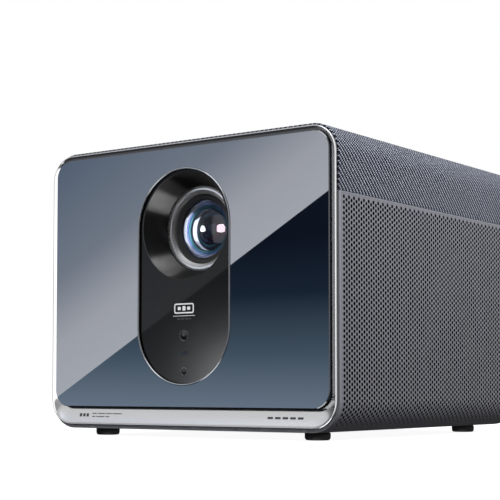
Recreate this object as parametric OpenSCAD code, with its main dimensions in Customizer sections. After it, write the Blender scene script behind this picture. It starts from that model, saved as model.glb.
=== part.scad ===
// Home projector: a box on four feet, with a dished front that holds a floating glass plate,
// a pill-shaped lens insert, perforated side panels and a fabric-covered top.
// Millimetres. The front faces -Y, +Z is up, and the origin is on the ground under the middle.

/* [Case] */
// Width of the case across its sides
body_w = 242; // [200:1:300]
// Height of the underside above the ground
body_z0 = 5.3; // [4:0.1:10]
// Height of the top of the fabric above the ground
body_z1 = 200.6; // [170:0.1:240]
// Radius of the case's four long edges
body_r = 20; // [16:0.5:26]
// Thickness of the case wall, with its ledges
wall = 3.6; // [3:0.1:5]
// Y of the front end of the shells
shell_front = -127.6; // [-135:0.1:-120]
// Y of the rear end of the shells
shell_rear = 128.1; // [120:0.1:140]
// Height of the seam between the fabric and the grilles
seam_z = 156.6; // [130:0.1:170]
// Thickness of the fabric cover
fabric_t = 1.2; // [0.8:0.1:2]
// Width of the gap between two outer skins
reveal = 0.4; // [0.2:0.1:1]

/* [Front] */
// Width of the silver bezel
rim_w = 240; // [200:1:290]
// Height of the silver bezel
rim_h = 191.5; // [160:0.1:220]
// Height of the bezel's lower edge above the ground
rim_z = 7.6; // [6:0.1:14]
// Corner radius of the bezel
rim_r = 18; // [12:0.5:24]
// Y of the bezel's front edge
rim_y = -130; // [-140:0.5:-125]
// Width of the front glass
glass_w = 231.4; // [190:0.1:280]
// Height of the front glass
glass_h = 174.9; // [150:0.1:200]
// Height of the glass's lower edge above the ground
glass_z = 20.4; // [15:0.1:40]
// Corner radius of the glass
glass_r = 12; // [8:0.5:20]
// Thickness of the glass
glass_t = 3; // [2:0.1:4]
// How far the glass stands in front of the bezel's edge
glass_proud = 0.9; // [0:0.1:2]

/* [Lens insert] */
// Radius of the round ends of the pill-shaped insert's trim
pill_r = 39.25; // [30:0.05:45]
// Height of the lens axis, which is also the centre of the insert's upper end
lens_z = 142; // [110:0.5:150]
// Height of the centre of the insert's lower end
pill_low_z = 74.3; // [60:0.1:90]
// Width of the trim ring's front edge
trim_w = 1.1; // [0.6:0.1:2]
// Radius of the conical recess at the insert's face
cone_r = 36; // [28:0.5:37]
// Depth of the conical recess
cone_depth = 17.6; // [10:0.1:25]
// Outer radius of the knurled lens ring
ring_r = 29.2; // [24:0.1:32]

/* [Lens] */
// Radius of the front lens element
lens_r = 20; // [14:0.5:22]
// Outer radius of the lens barrel
barrel_r = 26; // [24:0.5:28]
// Radius of the bore that the focus cell slides in
barrel_bore_r = 22; // [20:0.5:23]
// Radial clearance of running fits
running_gap = 0.05; // [0.02:0.01:0.1]
// Module of the focus gears
gear_module = 0.8; // [0.5:0.1:1]
// Teeth on the focus ring
ring_teeth = 72; // [72:1:72]
// Teeth on the focus pinion
pinion_teeth = 12; // [12:1:12]
// Width of the focus gears
gear_width = 8; // [5:0.5:10]

/* [Grilles] */
// Thickness of the perforated panels
panel_t = 1.2; // [1:0.1:1.6]
// Thickness of the dust mesh behind each panel
mesh_t = 0.4; // [0.2:0.1:0.4]
// Height of the panels' upper edge above the ground
panel_top = 155.4; // [120:0.1:160]
// Distance of the panels' front and rear edges from the shell's ends
panel_margin = 2.6; // [2:0.1:10]
// Half distance between the two panels under the case
panel_in_x = 108; // [104:0.5:114]

/* [Feet and fasteners] */
// Radius of a foot at its top
foot_r = 8.4; // [6:0.1:12]
// X distance of the feet from the middle
foot_x = 89.5; // [70:0.5:100]
// Y of the front feet
foot_front_y = -104; // [-115:0.5:-90]
// Y of the rear feet
foot_rear_y = 100; // [85:0.5:112]
// Radius of a case screw's thread
screw_r = 1.5; // [1.25:0.05:2]
// Radius of the tripod thread, drawn as a plain bore
tripod_r = 3.175; // [3.175:0.001:4.7625]
// Depth of the tripod thread
tripod_depth = 10; // [6:0.5:14]

/* [Inside] */
// Side of the square cooling fans
fan_side = 80; // [60:1:80]
// Thickness of the cooling fans
fan_t = 25; // [20:1:25]
// Radius of the speaker drivers' flanges
driver_r = 34; // [28:0.5:36]
// Radius of the phosphor wheel
wheel_r = 26; // [20:0.5:28]

/* [Hidden] */

$fn = 64;
LEFT = -1;
RIGHT = 1;
BIG = 400;

body_h = body_z1 - body_z0;
body_mid_z = (body_z0 + body_z1) / 2;
floor_z = body_z0 + wall;
inner_x = body_w / 2 - wall;
rim_mid_z = rim_z + rim_h / 2;
glass_mid_z = glass_z + glass_h / 2;
skirt_gap = 0.3;
skirt_t = 2.4;

// Front stack, from the trim's edge backwards
trim_y = rim_y - 1.5;
glass_y = rim_y - glass_proud;
glass_back = glass_y + glass_t;
dish_y = rim_y + 3.4;
dish_back = dish_y + 2;
bezel_back = rim_y + 13;
frame_back = bezel_back + 3;
insert_y = rim_y + 0.4;
insert_r = pill_r - trim_w - 0.1;
plug_r = insert_r - 1.2;
cone_y = insert_y + cone_depth;
cone_end_r = ring_r + 0.2;
cone_slope = (cone_r - cone_end_r) / cone_depth;
cone_wall = 1.8;

// Lens stack
ring_y = cone_y + reveal;
barrel_y = ring_y + 7.6;
barrel_back = -28;
mount_flange_t = 4;
engine_y = barrel_back + mount_flange_t;
cell_y = ring_y + 2.1;
cell_collar_back = cell_y + 3.5;
cell_back = -60;
cell_r = barrel_bore_r - running_gap;
lens_seat_back = cell_y + 9;
gear_back = -84;
gear_front = gear_back - gear_width;
ring_pitch_r = gear_module * ring_teeth / 2;
pinion_pitch_r = gear_module * pinion_teeth / 2;
gear_play = 0.15;
gear_distance = ring_pitch_r + pinion_pitch_r + gear_play;
pinion_angle = -45;
pinion_x = gear_distance * cos(pinion_angle);
pinion_z = lens_z + gear_distance * sin(pinion_angle);
shaft_r = 1;
motor_r = 7;
motor_length = 20;
ring_bore_r = 24;
ring_edge = 0.8;
fixed_gap = 0.02;
stop_y = [gear_back + 0.2, gear_back + 2.2];
sleeve_r = 28.2;
flange_r = 37;
lens_clear_r = 18.5;
second_lens_y = [-92, -86];

// Sensors in the lower half of the insert
camera_z = 68.5;
tof_z = 56.7;
ir_z = 44.4;
camera_r = 3.5;
ir_r = 2.7;
tof_size = [7.6, 3.8];
window_t = 2;
window_fit = 0.05;

// Grille frames
panel_front = shell_front + panel_margin;
panel_rear = shell_rear - panel_margin;
window_y = [-112, 116];
window_z = [30, 150];

// Rear stack
rear_skirt_y = 118;
rear_y = shell_rear + reveal;
back_y = -trim_y;
port_plate_y = rear_y - 2;
port_w = 168;
port_z0 = 17;
port_h = 30;
port_seam_x = 3.8;
port_seam = 0.3;
board_t = 1.6;
stand_r = 3;
main_board_x = 82;
main_board_front = 56;
power_board_x = 56;
power_board_y = [-104, -28];
main_board_z = 23;
main_board_top = main_board_z + board_t;
connector_y = port_plate_y - 12;
port_mid_z = main_board_top + 6;
socket_wall = 1.5;
hdmi_xs = [-64, -44];
usb_xs = [-24, -6];
lan_x = 13;
jack_x = 30;
jack_bore_r = 1.8;
jack_nose_r = 3.4;
inlet_x = 62;
inlet_pin_x = 4.3;
vent_zs = [60 : 6 : 150];
vent_size = [150, 2.8];
button_x = 92;
button_z = 166;
button_r = 7;
button_lip = 1.2;
led_z = button_z - 14;
led_r = 1.2;

// Optical block and cooling
tray_z = 98;
tray_t = 2;
engine_x0 = -55;
engine_x1 = 57;
engine_rear = 50;
engine_z0 = tray_z + tray_t;
engine_z1 = 184;
engine_wall = 3;
leg_x = 45;
leg_ys = [-16, 42];
leg_r = 4;
laser_x1 = 84;
laser_z0 = 64;
laser_z1 = 150;
beam_z = 124;
beam_r = 9;
plate_y0 = 20;
plate_y1 = 26;
pipe_r = 3;
pipe_x = 72;
pipe_zs = [68, 82, 96];
fin_y0 = 58;
fin_pitch = 4;
fin_count = 13;
fin_t = 0.8;
wheel_x = 28;
wheel_z = 146;
wheel_y = 55;
wheel_hub_r = 9;
axle_r = 1.5;
wheel_posts = [for (a = [90, 210, 330]) [31 * cos(a), 31 * sin(a)]];

// Fans
fan_x = 101.5;
fan_post_x = 94;
fan_y = 74;
fan_z = 82;
fan_hole_r = fan_side / 2 - 2;
blade_tip_r = fan_hole_r - 2;
blade_t = 1.6;
blade_chord = 20;
hub_r = 17;
blades = 9;

// Speakers
speaker_y = -66;
speaker_z = 72;
speaker_face_x = 110;
speaker_depth = 44;
speaker_w = 84;
speaker_h = 104;
speaker_wall = 3;
cone_out_r = 24;

// Feet and screws
foot_edge = 1.2;
peg_r = 2.48;
peg_hole_r = 2.5;
screw_head_r = 3;
screw_head_depth = 1.6;
tripod_seat_r = 6;
tripod_flange_r = 9;
foot_places = [for (y = [foot_front_y, foot_rear_y]) for (x = [-foot_x, foot_x]) [x, y]];
rear_screw_x = 107;
rear_screw_zs = [22, 178];
rear_screws = [for (x = [-rear_screw_x, rear_screw_x]) for (z = rear_screw_zs) [x, z]];
screw_boss_y = 10;
screw_boss_z = 8;

// ---- shared shapes ----

// Rounded rectangle centred on the origin
module rounded(w, h, r) {
    square([w - 2 * r, h], center = true);
    if (h > 2 * r) square([w, h - 2 * r], center = true);
    for (x = [-1, 1]) for (y = [-1, 1])
        translate([x * (w / 2 - r), y * (h / 2 - r)]) circle(r = r);
}

// Pill standing on end, between the two centres of the lens insert
module pill(r) {
    translate([0, lens_z]) circle(r = r);
    translate([0, pill_low_z]) circle(r = r);
    translate([-r, pill_low_z]) square([2 * r, lens_z - pill_low_z]);
}

// Carries an XZ outline along Y, from y0 to y1
module along_y(y0, y1) {
    translate([0, y1, 0]) rotate([90, 0, 0]) linear_extrude(y1 - y0) children();
}

// Carries a YZ outline along X, from x0 to x1
module along_x(x0, x1) {
    translate([x0, 0, 0]) rotate([90, 0, 90]) linear_extrude(x1 - x0) children();
}

// Block between two opposite corners
module block(a, b) {
    translate(a) cube(b - a);
}

// Round bar along Y at [x, z]
module bar_y(x, z, r, y0, y1) {
    translate([x, y1, z]) rotate([90, 0, 0]) cylinder(r = r, h = y1 - y0);
}

// Round bar along X at [y, z]
module bar_x(y, z, r, x0, x1) {
    translate([x0, y, z]) rotate([0, 90, 0]) cylinder(r = r, h = x1 - x0);
}

// Solid of revolution about the lens axis, from points of [radius, y]
module turned(points) {
    translate([0, 0, lens_z]) rotate([-90, 0, 0]) rotate_extrude()
        polygon([for (p = points) [p[0], p[1]]]);
}

// Solid of revolution about a line along X, from points of [radius, x]
module turned_x(y, z, points) {
    translate([0, y, z]) rotate([0, 90, 0]) rotate_extrude() polygon(points);
}

// Case outline set in by t from the outer skin
module case_outline(t) {
    translate([0, body_mid_z]) rounded(body_w - 2 * t, body_h - 2 * t, body_r - t);
}

// Case wall between two depths under the outer skin
module case_band(outer, inner) {
    difference() {
        case_outline(outer);
        case_outline(inner);
    }
}

module above(z) {
    translate([-BIG / 2, z]) square([BIG, BIG]);
}

module below(z) {
    translate([-BIG / 2, z - BIG]) square([BIG, BIG]);
}

// Outline of the bezel set in by t
module rim_outline(t) {
    translate([0, rim_mid_z]) rounded(rim_w - 2 * t, rim_h - 2 * t, rim_r - t);
}

// Outline of the dish's floor
module dish_outline() {
    translate([0, rim_mid_z]) rounded(rim_w - 8, rim_h - 6.8, rim_r - 5);
}

// Outline that slides inside the shells, set in further by t
module skirt_outline(t) {
    case_outline(wall + skirt_gap + t);
}

// Side region outside x, between two heights
module side_region(side, x, z0, z1) {
    translate([side > 0 ? x : -x - BIG, z0]) square([BIG, z1 - z0]);
}

// Spur gear outline with straight-sided teeth
module gear_outline(teeth, pitch_r) {
    step = 360 / teeth;
    root = pitch_r - 1.25 * gear_module;
    tip = pitch_r + gear_module;
    polygon([for (i = [0 : teeth - 1]) for (p = [[-0.36, root], [-0.13, tip], [0.13, tip], [0.36, root]])
        [p[1] * cos((i + p[0]) * step), p[1] * sin((i + p[0]) * step)]]);
}

// ---- front ----

module front_bezel() color("silver") {
    difference() {
        union() {
            along_y(rim_y, shell_front - reveal) rim_outline(0);
            along_y(rim_y, bezel_back) skirt_outline(0);
        }
        along_y(rim_y - 1, rim_y + 0.8) rim_outline(1.3);
        along_y(rim_y - 1, dish_y) dish_outline();
        along_y(dish_back, bezel_back + 1) skirt_outline(skirt_t);
        along_y(dish_y - 1, dish_back + 1) pill(plug_r + 0.1);
    }
}

module front_glass() color("darkslateblue") {
    difference() {
        along_y(glass_y, glass_back) translate([0, glass_mid_z]) rounded(glass_w, glass_h, glass_r);
        along_y(glass_y - 1, glass_back + 1) pill(pill_r + 0.1);
    }
}

module glass_gasket() color("black") {
    along_y(glass_back, dish_y) difference() {
        translate([0, glass_mid_z]) rounded(glass_w - 7, glass_h - 7, glass_r - 3.5);
        translate([0, glass_mid_z]) rounded(glass_w - 17, glass_h - 17, glass_r - 8.5);
    }
}

module pill_trim() color("silver") {
    along_y(trim_y, dish_y) difference() {
        pill(pill_r);
        pill(pill_r - trim_w);
    }
}

module lens_bezel() color("black") {
    difference() {
        union() {
            along_y(insert_y, dish_y) pill(insert_r);
            along_y(dish_y, dish_back) pill(plug_r);
            turned([[cone_end_r - 4, insert_y], [plug_r, insert_y], [plug_r, dish_back],
                [cone_end_r + cone_wall, cone_y], [cone_end_r - 4, cone_y]]);
        }
        turned([[0, insert_y - 1], [cone_r + cone_slope, insert_y - 1],
            [cone_end_r - cone_slope, cone_y + 1], [0, cone_y + 1]]);
        bar_y(0, camera_z, camera_r + window_fit, insert_y - 1, dish_back + 1);
        bar_y(0, ir_z, ir_r + window_fit, insert_y - 1, dish_back + 1);
        along_y(insert_y - 1, dish_back + 1) translate([0, tof_z])
            square([tof_size[0] + 2 * window_fit, tof_size[1] + 2 * window_fit], center = true);
    }
}

module camera_window() color("midnightblue") {
    bar_y(0, camera_z, camera_r, insert_y, insert_y + window_t);
}

module tof_window() color("midnightblue") {
    along_y(insert_y, insert_y + window_t) translate([0, tof_z]) square(tof_size, center = true);
}

module ir_window() color("darkred") {
    bar_y(0, ir_z, ir_r, insert_y, insert_y + window_t);
}

module sensor_board() color("darkgreen") {
    board_y = dish_back + 3;
    along_y(board_y, board_y + board_t) translate([0, (camera_z + ir_z) / 2]) square([28, 38], center = true);
    bar_y(0, camera_z, camera_r - 0.2, insert_y + window_t + 0.4, board_y);
    bar_y(0, ir_z, ir_r - 0.2, insert_y + window_t + 0.4, board_y);
    for (x = [-10, 10]) for (z = [camera_z - 2, ir_z + 2]) bar_y(x, z, 2, dish_back, board_y);
}

module front_frame() color("dimgray") {
    difference() {
        along_y(bezel_back, frame_back) skirt_outline(0);
        along_y(bezel_back - 1, frame_back + 1) pill(pill_r + 3);
    }
}

// ---- lens and focus drive ----

module lens_ring() color("silver") {
    sleeve_end = gear_front - 0.2;
    sleeve_bore = barrel_r + fixed_gap;
    turned([[ring_bore_r, ring_y], [ring_r - ring_edge, ring_y], [ring_r, ring_y + ring_edge],
        [ring_r, barrel_y], [sleeve_r, barrel_y], [sleeve_r, sleeve_end], [sleeve_bore, sleeve_end],
        [sleeve_bore, barrel_y], [ring_bore_r, barrel_y]]);
}

module lens_barrel() color("black") {
    stop_r = barrel_r + 2;
    turned([[barrel_bore_r, barrel_y], [barrel_r, barrel_y], [barrel_r, stop_y[0]], [stop_r, stop_y[0]],
        [stop_r, stop_y[1]], [barrel_r, stop_y[1]], [barrel_r, barrel_back], [flange_r, barrel_back],
        [flange_r, engine_y], [barrel_bore_r, engine_y]]);
}

module focus_ring_gear() color("dimgray") {
    translate([0, 0, lens_z]) rotate([90, 0, 0]) translate([0, 0, -gear_back]) difference() {
        linear_extrude(gear_width) gear_outline(ring_teeth, ring_pitch_r);
        translate([0, 0, -1]) cylinder(r = barrel_r + running_gap, h = gear_width + 2);
    }
}

module focus_pinion() color("goldenrod") {
    phase = 180 + pinion_angle + 180 / pinion_teeth + ring_teeth / pinion_teeth * pinion_angle;
    translate([pinion_x, 0, pinion_z]) rotate([90, 0, 0]) translate([0, 0, -gear_back]) {
        rotate([0, 0, phase]) linear_extrude(gear_width) gear_outline(pinion_teeth, pinion_pitch_r);
        translate([0, 0, -12]) cylinder(r = shaft_r, h = 13);
    }
}

module focus_motor() color("lightgray") {
    front = stop_y[1] + 0.2;
    arm = 10;
    difference() {
        union() {
            bar_y(pinion_x, pinion_z, motor_r, front, front + motor_length);
            translate([0, front + 6, lens_z]) rotate([0, -pinion_angle, 0])
                translate([barrel_r + fixed_gap, 0, -arm / 2]) cube([gear_distance - barrel_r, arm, arm]);
        }
        bar_y(pinion_x, pinion_z, shaft_r + running_gap, front - 1, front + 12);
    }
}

module focus_cell() color("black") {
    collar_r = ring_bore_r - running_gap * 2;
    turned([[lens_r, cell_y + 1.2], [lens_r + 1.2, cell_y + 0.6], [collar_r - 0.6, cell_y],
        [collar_r, cell_y + 0.6], [collar_r, cell_collar_back], [cell_r, cell_collar_back],
        [cell_r, cell_back], [lens_clear_r, cell_back], [lens_clear_r, lens_seat_back],
        [lens_r, lens_seat_back]]);
}

module lens_front_element() color("lightsteelblue") {
    edge_y = cell_y + 3.6;
    dome_r = 55;
    translate([0, 0, lens_z]) rotate([-90, 0, 0]) intersection() {
        translate([0, 0, edge_y - 6]) cylinder(r = lens_r - running_gap, h = lens_seat_back - edge_y + 5.9);
        translate([0, 0, edge_y + sqrt(dome_r * dome_r - lens_r * lens_r)]) sphere(r = dome_r, $fn = 96);
    }
}

module lens_second_element() color("lightsteelblue") {
    bar_y(0, lens_z, lens_clear_r - running_gap, second_lens_y[0], second_lens_y[1]);
}

// ---- case ----

// Screw boss that reaches in from the side wall, just in front of the rear cover's posts
module screw_boss_at(x, z) {
    side = sign(x);
    back = rear_skirt_y - 1;
    inner = x - side * 6;
    wall_x = side * inner_x;
    difference() {
        block([min(inner, wall_x), back - screw_boss_y, z - screw_boss_z / 2],
            [max(inner, wall_x), back, z + screw_boss_z / 2]);
        bar_y(x, z, screw_r, back - screw_boss_y - 1, back + 1);
    }
}

// Part of the case wall that a side panel takes, between two depths, set in by margin
module panel_band(side, outer, inner, margin) {
    along_y(panel_front + margin, panel_rear - margin) intersection() {
        case_band(outer, inner);
        side_region(side, panel_in_x + margin, 0, panel_top - margin);
    }
}

module lower_shell() color("slategray") {
    difference() {
        along_y(shell_front, shell_rear) intersection() {
            case_band(0, wall);
            below(seam_z - reveal / 2);
        }
        for (side = [LEFT, RIGHT]) {
            panel_band(side, -1, panel_t + mesh_t, -0.05);
            along_x(side > 0 ? inner_x - 4 : -body_w, side > 0 ? body_w : 4 - inner_x)
                translate([window_y[0], window_z[0]])
                square([window_y[1] - window_y[0], window_z[1] - window_z[0]]);
        }
        for (p = foot_places) floor_hole(p[0], p[1], peg_hole_r, wall + 1);
        for (x = [-leg_x, leg_x]) for (y = leg_ys) {
            floor_hole(x, y, screw_r, wall + 1);
            floor_hole(x, y, screw_head_r, screw_head_depth);
        }
        floor_hole(0, 0, tripod_seat_r, wall + 1);
    }
    for (side = [LEFT, RIGHT]) screw_boss_at(side * rear_screw_x, rear_screw_zs[0]);
}

// Cutter that goes up from below the floor to a depth above its underside
module floor_hole(x, y, r, depth) {
    translate([x, y, body_z0 - 1]) cylinder(r = r, h = depth + 1);
}

module top_shell() color("dimgray") {
    along_y(shell_front, shell_rear) intersection() {
        case_band(fabric_t, wall);
        above(seam_z + reveal / 2);
    }
    for (side = [LEFT, RIGHT]) screw_boss_at(side * rear_screw_x, rear_screw_zs[1]);
}

module fabric_cover() color("slategray") {
    along_y(shell_front, shell_rear) intersection() {
        case_band(0, fabric_t);
        above(seam_z + reveal / 2);
    }
}

module grille(side) color("lightslategray") {
    panel_band(side, 0, panel_t, 0);
}

module left_grille() grille(LEFT);

module right_grille() grille(RIGHT);

module dust_mesh(side) color("black") {
    panel_band(side, panel_t, panel_t + mesh_t, 0);
}

module left_dust_mesh() dust_mesh(LEFT);

module right_dust_mesh() dust_mesh(RIGHT);

module rear_cover() color("slategray") {
    difference() {
        union() {
            along_y(rear_y, back_y) rim_outline(0);
            along_y(rear_skirt_y, rear_y) difference() {
                skirt_outline(0);
                skirt_outline(skirt_t);
            }
            for (p = rear_screws) bar_y(p[0], p[1], 4, rear_skirt_y - 1, rear_y);
        }
        along_y(rear_y - 1, back_y + 1) translate([0, port_z0 + port_h / 2])
            rounded(port_w, port_h, 4);
        for (z = vent_zs) along_y(rear_y - 1, back_y + 1) translate([0, z])
            rounded(vent_size[0], vent_size[1], vent_size[1] / 2);
        bar_y(button_x, button_z, button_r + running_gap, rear_y - 1, back_y + 1);
        bar_y(button_x, led_z, led_r + window_fit, rear_y - 1, back_y + 1);
        for (p = rear_screws) {
            bar_y(p[0], p[1], screw_r, rear_skirt_y - 2, back_y + 1);
            bar_y(p[0], p[1], screw_head_r, back_y - 2, back_y + 1);
        }
    }
}

// ---- rear ports ----

module hdmi_mouth() {
    square([14.6, 4.8], center = true);
}

module usb_mouth() {
    square([12.6, 5.2], center = true);
}

module lan_mouth() {
    square([11.8, 8.2], center = true);
}

module inlet_mouth() {
    for (x = [-inlet_pin_x, inlet_pin_x]) translate([x, 0]) circle(r = 4.4);
    square([2 * inlet_pin_x, 8.8], center = true);
}

// Two halves that meet with a thin seam between the sockets
module port_plate() color("black") {
    difference() {
        along_y(port_plate_y, rear_y) translate([0, port_z0 + port_h / 2])
            rounded(port_w + 6, port_h + 6, 5);
        along_y(port_plate_y - 1, rear_y + 1) translate([port_seam_x, port_z0 + port_h / 2])
            square([port_seam, port_h + 8], center = true);
        for (x = hdmi_xs) port_cut(x) hdmi_mouth();
        for (x = usb_xs) port_cut(x) usb_mouth();
        port_cut(lan_x) lan_mouth();
        port_cut(inlet_x) inlet_mouth();
        bar_y(jack_x, port_mid_z, jack_nose_r, port_plate_y - 1, rear_y + 1);
    }
}

module port_cut(x) {
    along_y(port_plate_y - 1, rear_y + 1) translate([x, port_mid_z]) children();
}

// Socket body of size [w, h] with a blind mouth that faces the rear
module socket(x, size) {
    difference() {
        block([x - size[0] / 2, connector_y, main_board_top],
            [x + size[0] / 2, port_plate_y, port_mid_z + size[1] / 2]);
        along_y(connector_y + socket_wall, port_plate_y + 1) translate([x, port_mid_z]) children();
    }
}

module hdmi_ports() color("silver") {
    for (x = hdmi_xs) socket(x, [17, 7]) hdmi_mouth();
}

module usb_ports() color("silver") {
    for (x = usb_xs) {
        socket(x, [15, 7.4]) usb_mouth();
        block([x - 5.2, connector_y + socket_wall, port_mid_z - 0.1],
            [x + 5.2, port_plate_y - 1, port_mid_z + 1.7]);
    }
}

module lan_port() color("silver") {
    socket(lan_x, [15, 12]) lan_mouth();
}

module audio_jack() color("black") {
    difference() {
        block([jack_x - 4, connector_y, main_board_top], [jack_x + 4, port_plate_y, port_mid_z + 4]);
        bar_y(jack_x, port_mid_z, jack_bore_r, connector_y + socket_wall, port_plate_y + 1);
    }
}

module power_inlet() color("black") {
    socket(inlet_x, [22, 13]) inlet_mouth();
    for (x = [-inlet_pin_x, inlet_pin_x])
        bar_y(inlet_x + x, port_mid_z, 1.2, connector_y + socket_wall, port_plate_y - 1);
}

module power_button() color("dimgray") {
    lip_y = rear_y - 1.5;
    bar_y(button_x, button_z, button_r, lip_y, back_y);
    bar_y(button_x, button_z, button_r + button_lip, lip_y - button_lip, lip_y);
}

module status_led() color("white") {
    bar_y(button_x, led_z, led_r, rear_y - 4, back_y);
}

// ---- feet and fasteners ----

module foot(i) color("black") {
    translate([foot_places[i][0], foot_places[i][1], 0]) {
        cylinder(r1 = foot_r - 0.8, r2 = foot_r, h = foot_edge);
        translate([0, 0, foot_edge]) cylinder(r = foot_r, h = body_z0 - foot_edge);
        translate([0, 0, body_z0]) cylinder(r = peg_r, h = wall);
    }
}

module foot_front_left() foot(0);

module foot_front_right() foot(1);

module foot_rear_left() foot(2);

module foot_rear_right() foot(3);

// Pan-head screw with its head at the origin and its shank up +Z
module screw(shank) {
    head = 1.5;
    difference() {
        cylinder(r = screw_head_r - 0.2, h = head);
        translate([0, 0, -1]) cylinder(r = 1.2, h = 1.9, $fn = 6);
    }
    translate([0, 0, head]) cylinder(r = screw_r - fixed_gap, h = shank);
}

module case_screws() color("gray") {
    for (x = [-leg_x, leg_x]) for (y = leg_ys) translate([x, y, body_z0 + 0.1]) screw(10);
    for (p = rear_screws) translate([p[0], back_y - 0.5, p[1]]) rotate([90, 0, 0]) screw(18);
}

module tripod_insert() color("goldenrod") {
    translate([0, 0, body_z0]) difference() {
        union() {
            cylinder(r = tripod_seat_r - fixed_gap, h = tripod_depth + 0.6);
            translate([0, 0, wall]) cylinder(r = tripod_flange_r, h = tripod_depth + 0.6 - wall);
        }
        translate([0, 0, -1]) cylinder(r = tripod_r, h = tripod_depth + 1);
    }
}

// ---- optical block ----

module engine_tray() color("lightgray") {
    difference() {
        union() {
            block([engine_x0, engine_y, tray_z], [engine_x1, engine_rear, engine_z0]);
            for (x = [-leg_x, leg_x]) for (y = leg_ys)
                translate([x, y, floor_z]) cylinder(r = leg_r, h = tray_z - floor_z);
        }
        for (x = [-leg_x, leg_x]) for (y = leg_ys)
            translate([x, y, floor_z - 1]) cylinder(r = screw_r, h = 12);
    }
}

module light_engine() color("darkgray") {
    difference() {
        union() {
            block([engine_x0, engine_y, engine_z0], [engine_x1, engine_rear, engine_z1]);
            for (x = [-40, -20, 20, 40]) block([x - 1, engine_y + 4, engine_z1],
                [x + 1, engine_rear - 4, engine_z1 + 4]);
        }
        block([engine_x0 + engine_wall, engine_y + engine_wall, engine_z0 - 1],
            [engine_x1 - engine_wall, engine_rear - engine_wall, engine_z1 - engine_wall]);
        bar_y(0, lens_z, 20, engine_y - 1, engine_y + engine_wall + 1);
        bar_x(2, beam_z, beam_r, engine_x1 - engine_wall - 1, engine_x1 + 1);
        along_y(engine_rear - engine_wall - 1, engine_rear + 1) translate([-25, lens_z])
            square([22, 14], center = true);
    }
}

module dmd_board() color("darkgreen") {
    block([-48, engine_rear, 112], [-4, engine_rear + board_t, 172]);
}

module dmd_heatsink() color("silver") {
    base_y = engine_rear + board_t;
    block([-42, base_y, 120], [-10, base_y + 3, 164]);
    for (i = [0 : 10]) block([-42, base_y + 3, 120 + i * 4.3], [-10, base_y + 19, 121 + i * 4.3]);
}

module laser_module() color("darkgray") {
    difference() {
        block([engine_x1, -18, laser_z0], [laser_x1, plate_y0, laser_z1]);
        bar_x(2, beam_z, beam_r, engine_x1 - 1, engine_x1 + 14);
    }
}

module cold_plate() color("chocolate") {
    difference() {
        block([engine_x1 + 1, plate_y0, laser_z0 - 2], [laser_x1 + 2, plate_y1, 112]);
        for (z = pipe_zs) bar_y(pipe_x, z, pipe_r, plate_y0 - 1, plate_y1 + 1);
    }
}

module heat_pipes() color("chocolate") {
    for (z = pipe_zs) bar_y(pipe_x, z, pipe_r - 0.02, plate_y0, fin_y0 + fin_count * fin_pitch);
}

module heatsink_fins() color("silver") {
    difference() {
        for (i = [0 : fin_count - 1]) block([34, fin_y0 + i * fin_pitch, 52],
            [laser_x1 + 2, fin_y0 + i * fin_pitch + fin_t, 108]);
        for (z = pipe_zs) bar_y(pipe_x, z, pipe_r, fin_y0 - 1, fin_y0 + fin_count * fin_pitch);
    }
}

module phosphor_wheel() color("gold") {
    bar_y(wheel_x, wheel_z, wheel_r, wheel_y, wheel_y + 1);
    bar_y(wheel_x, wheel_z, wheel_hub_r, wheel_y + 1, wheel_y + 3);
    bar_y(wheel_x, wheel_z, axle_r, wheel_y + 3, wheel_y + 9);
}

module wheel_motor() color("gray") {
    plate_y = wheel_y + 9.4;
    difference() {
        union() {
            bar_y(wheel_x, wheel_z, 10, wheel_y + 3.4, plate_y + 3);
            bar_y(wheel_x, wheel_z, 34, plate_y, plate_y + 2);
            for (p = wheel_posts) bar_y(wheel_x + p[0], wheel_z + p[1], 2.5, engine_rear, plate_y);
        }
        bar_y(wheel_x, wheel_z, axle_r + running_gap, wheel_y + 3, wheel_y + 9.2);
    }
}

// ---- boards ----

// Stands between the case's floor and a board
module stands(x, ys) {
    for (side = [LEFT, RIGHT]) for (y = ys)
        translate([side * x, y, floor_z]) cylinder(r = stand_r, h = main_board_z - floor_z);
}

module main_board() color("darkgreen") {
    block([-main_board_x, main_board_front, main_board_z],
        [main_board_x, port_plate_y - 0.5, main_board_top]);
    stands(main_board_x - 6, [main_board_front + 6, port_plate_y - 18.5]);
    block([-30, 66, main_board_top], [-6, 90, main_board_top + 5]);
    for (x = [2, 16]) block([x, 68, main_board_top], [x + 11, 82, main_board_top + 1.2]);
    block([-64, 70, main_board_top], [-44, 84, main_board_top + 3]);
}

module power_board() color("olive") {
    block([-power_board_x, power_board_y[0], main_board_z],
        [power_board_x, power_board_y[1], main_board_top]);
    stands(power_board_x - 6, [power_board_y[0] + 6, power_board_y[1] - 6]);
    block([-20, -82, main_board_top], [16, -52, main_board_top + 26]);
    for (x = [-40, 36]) translate([x, -84, main_board_top]) cylinder(r = 9, h = 30);
    block([-48, -60, main_board_top], [-34, -40, main_board_top + 18]);
    block([28, -62, main_board_top], [32, -34, main_board_top + 24]);
}

// ---- fans ----

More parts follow.
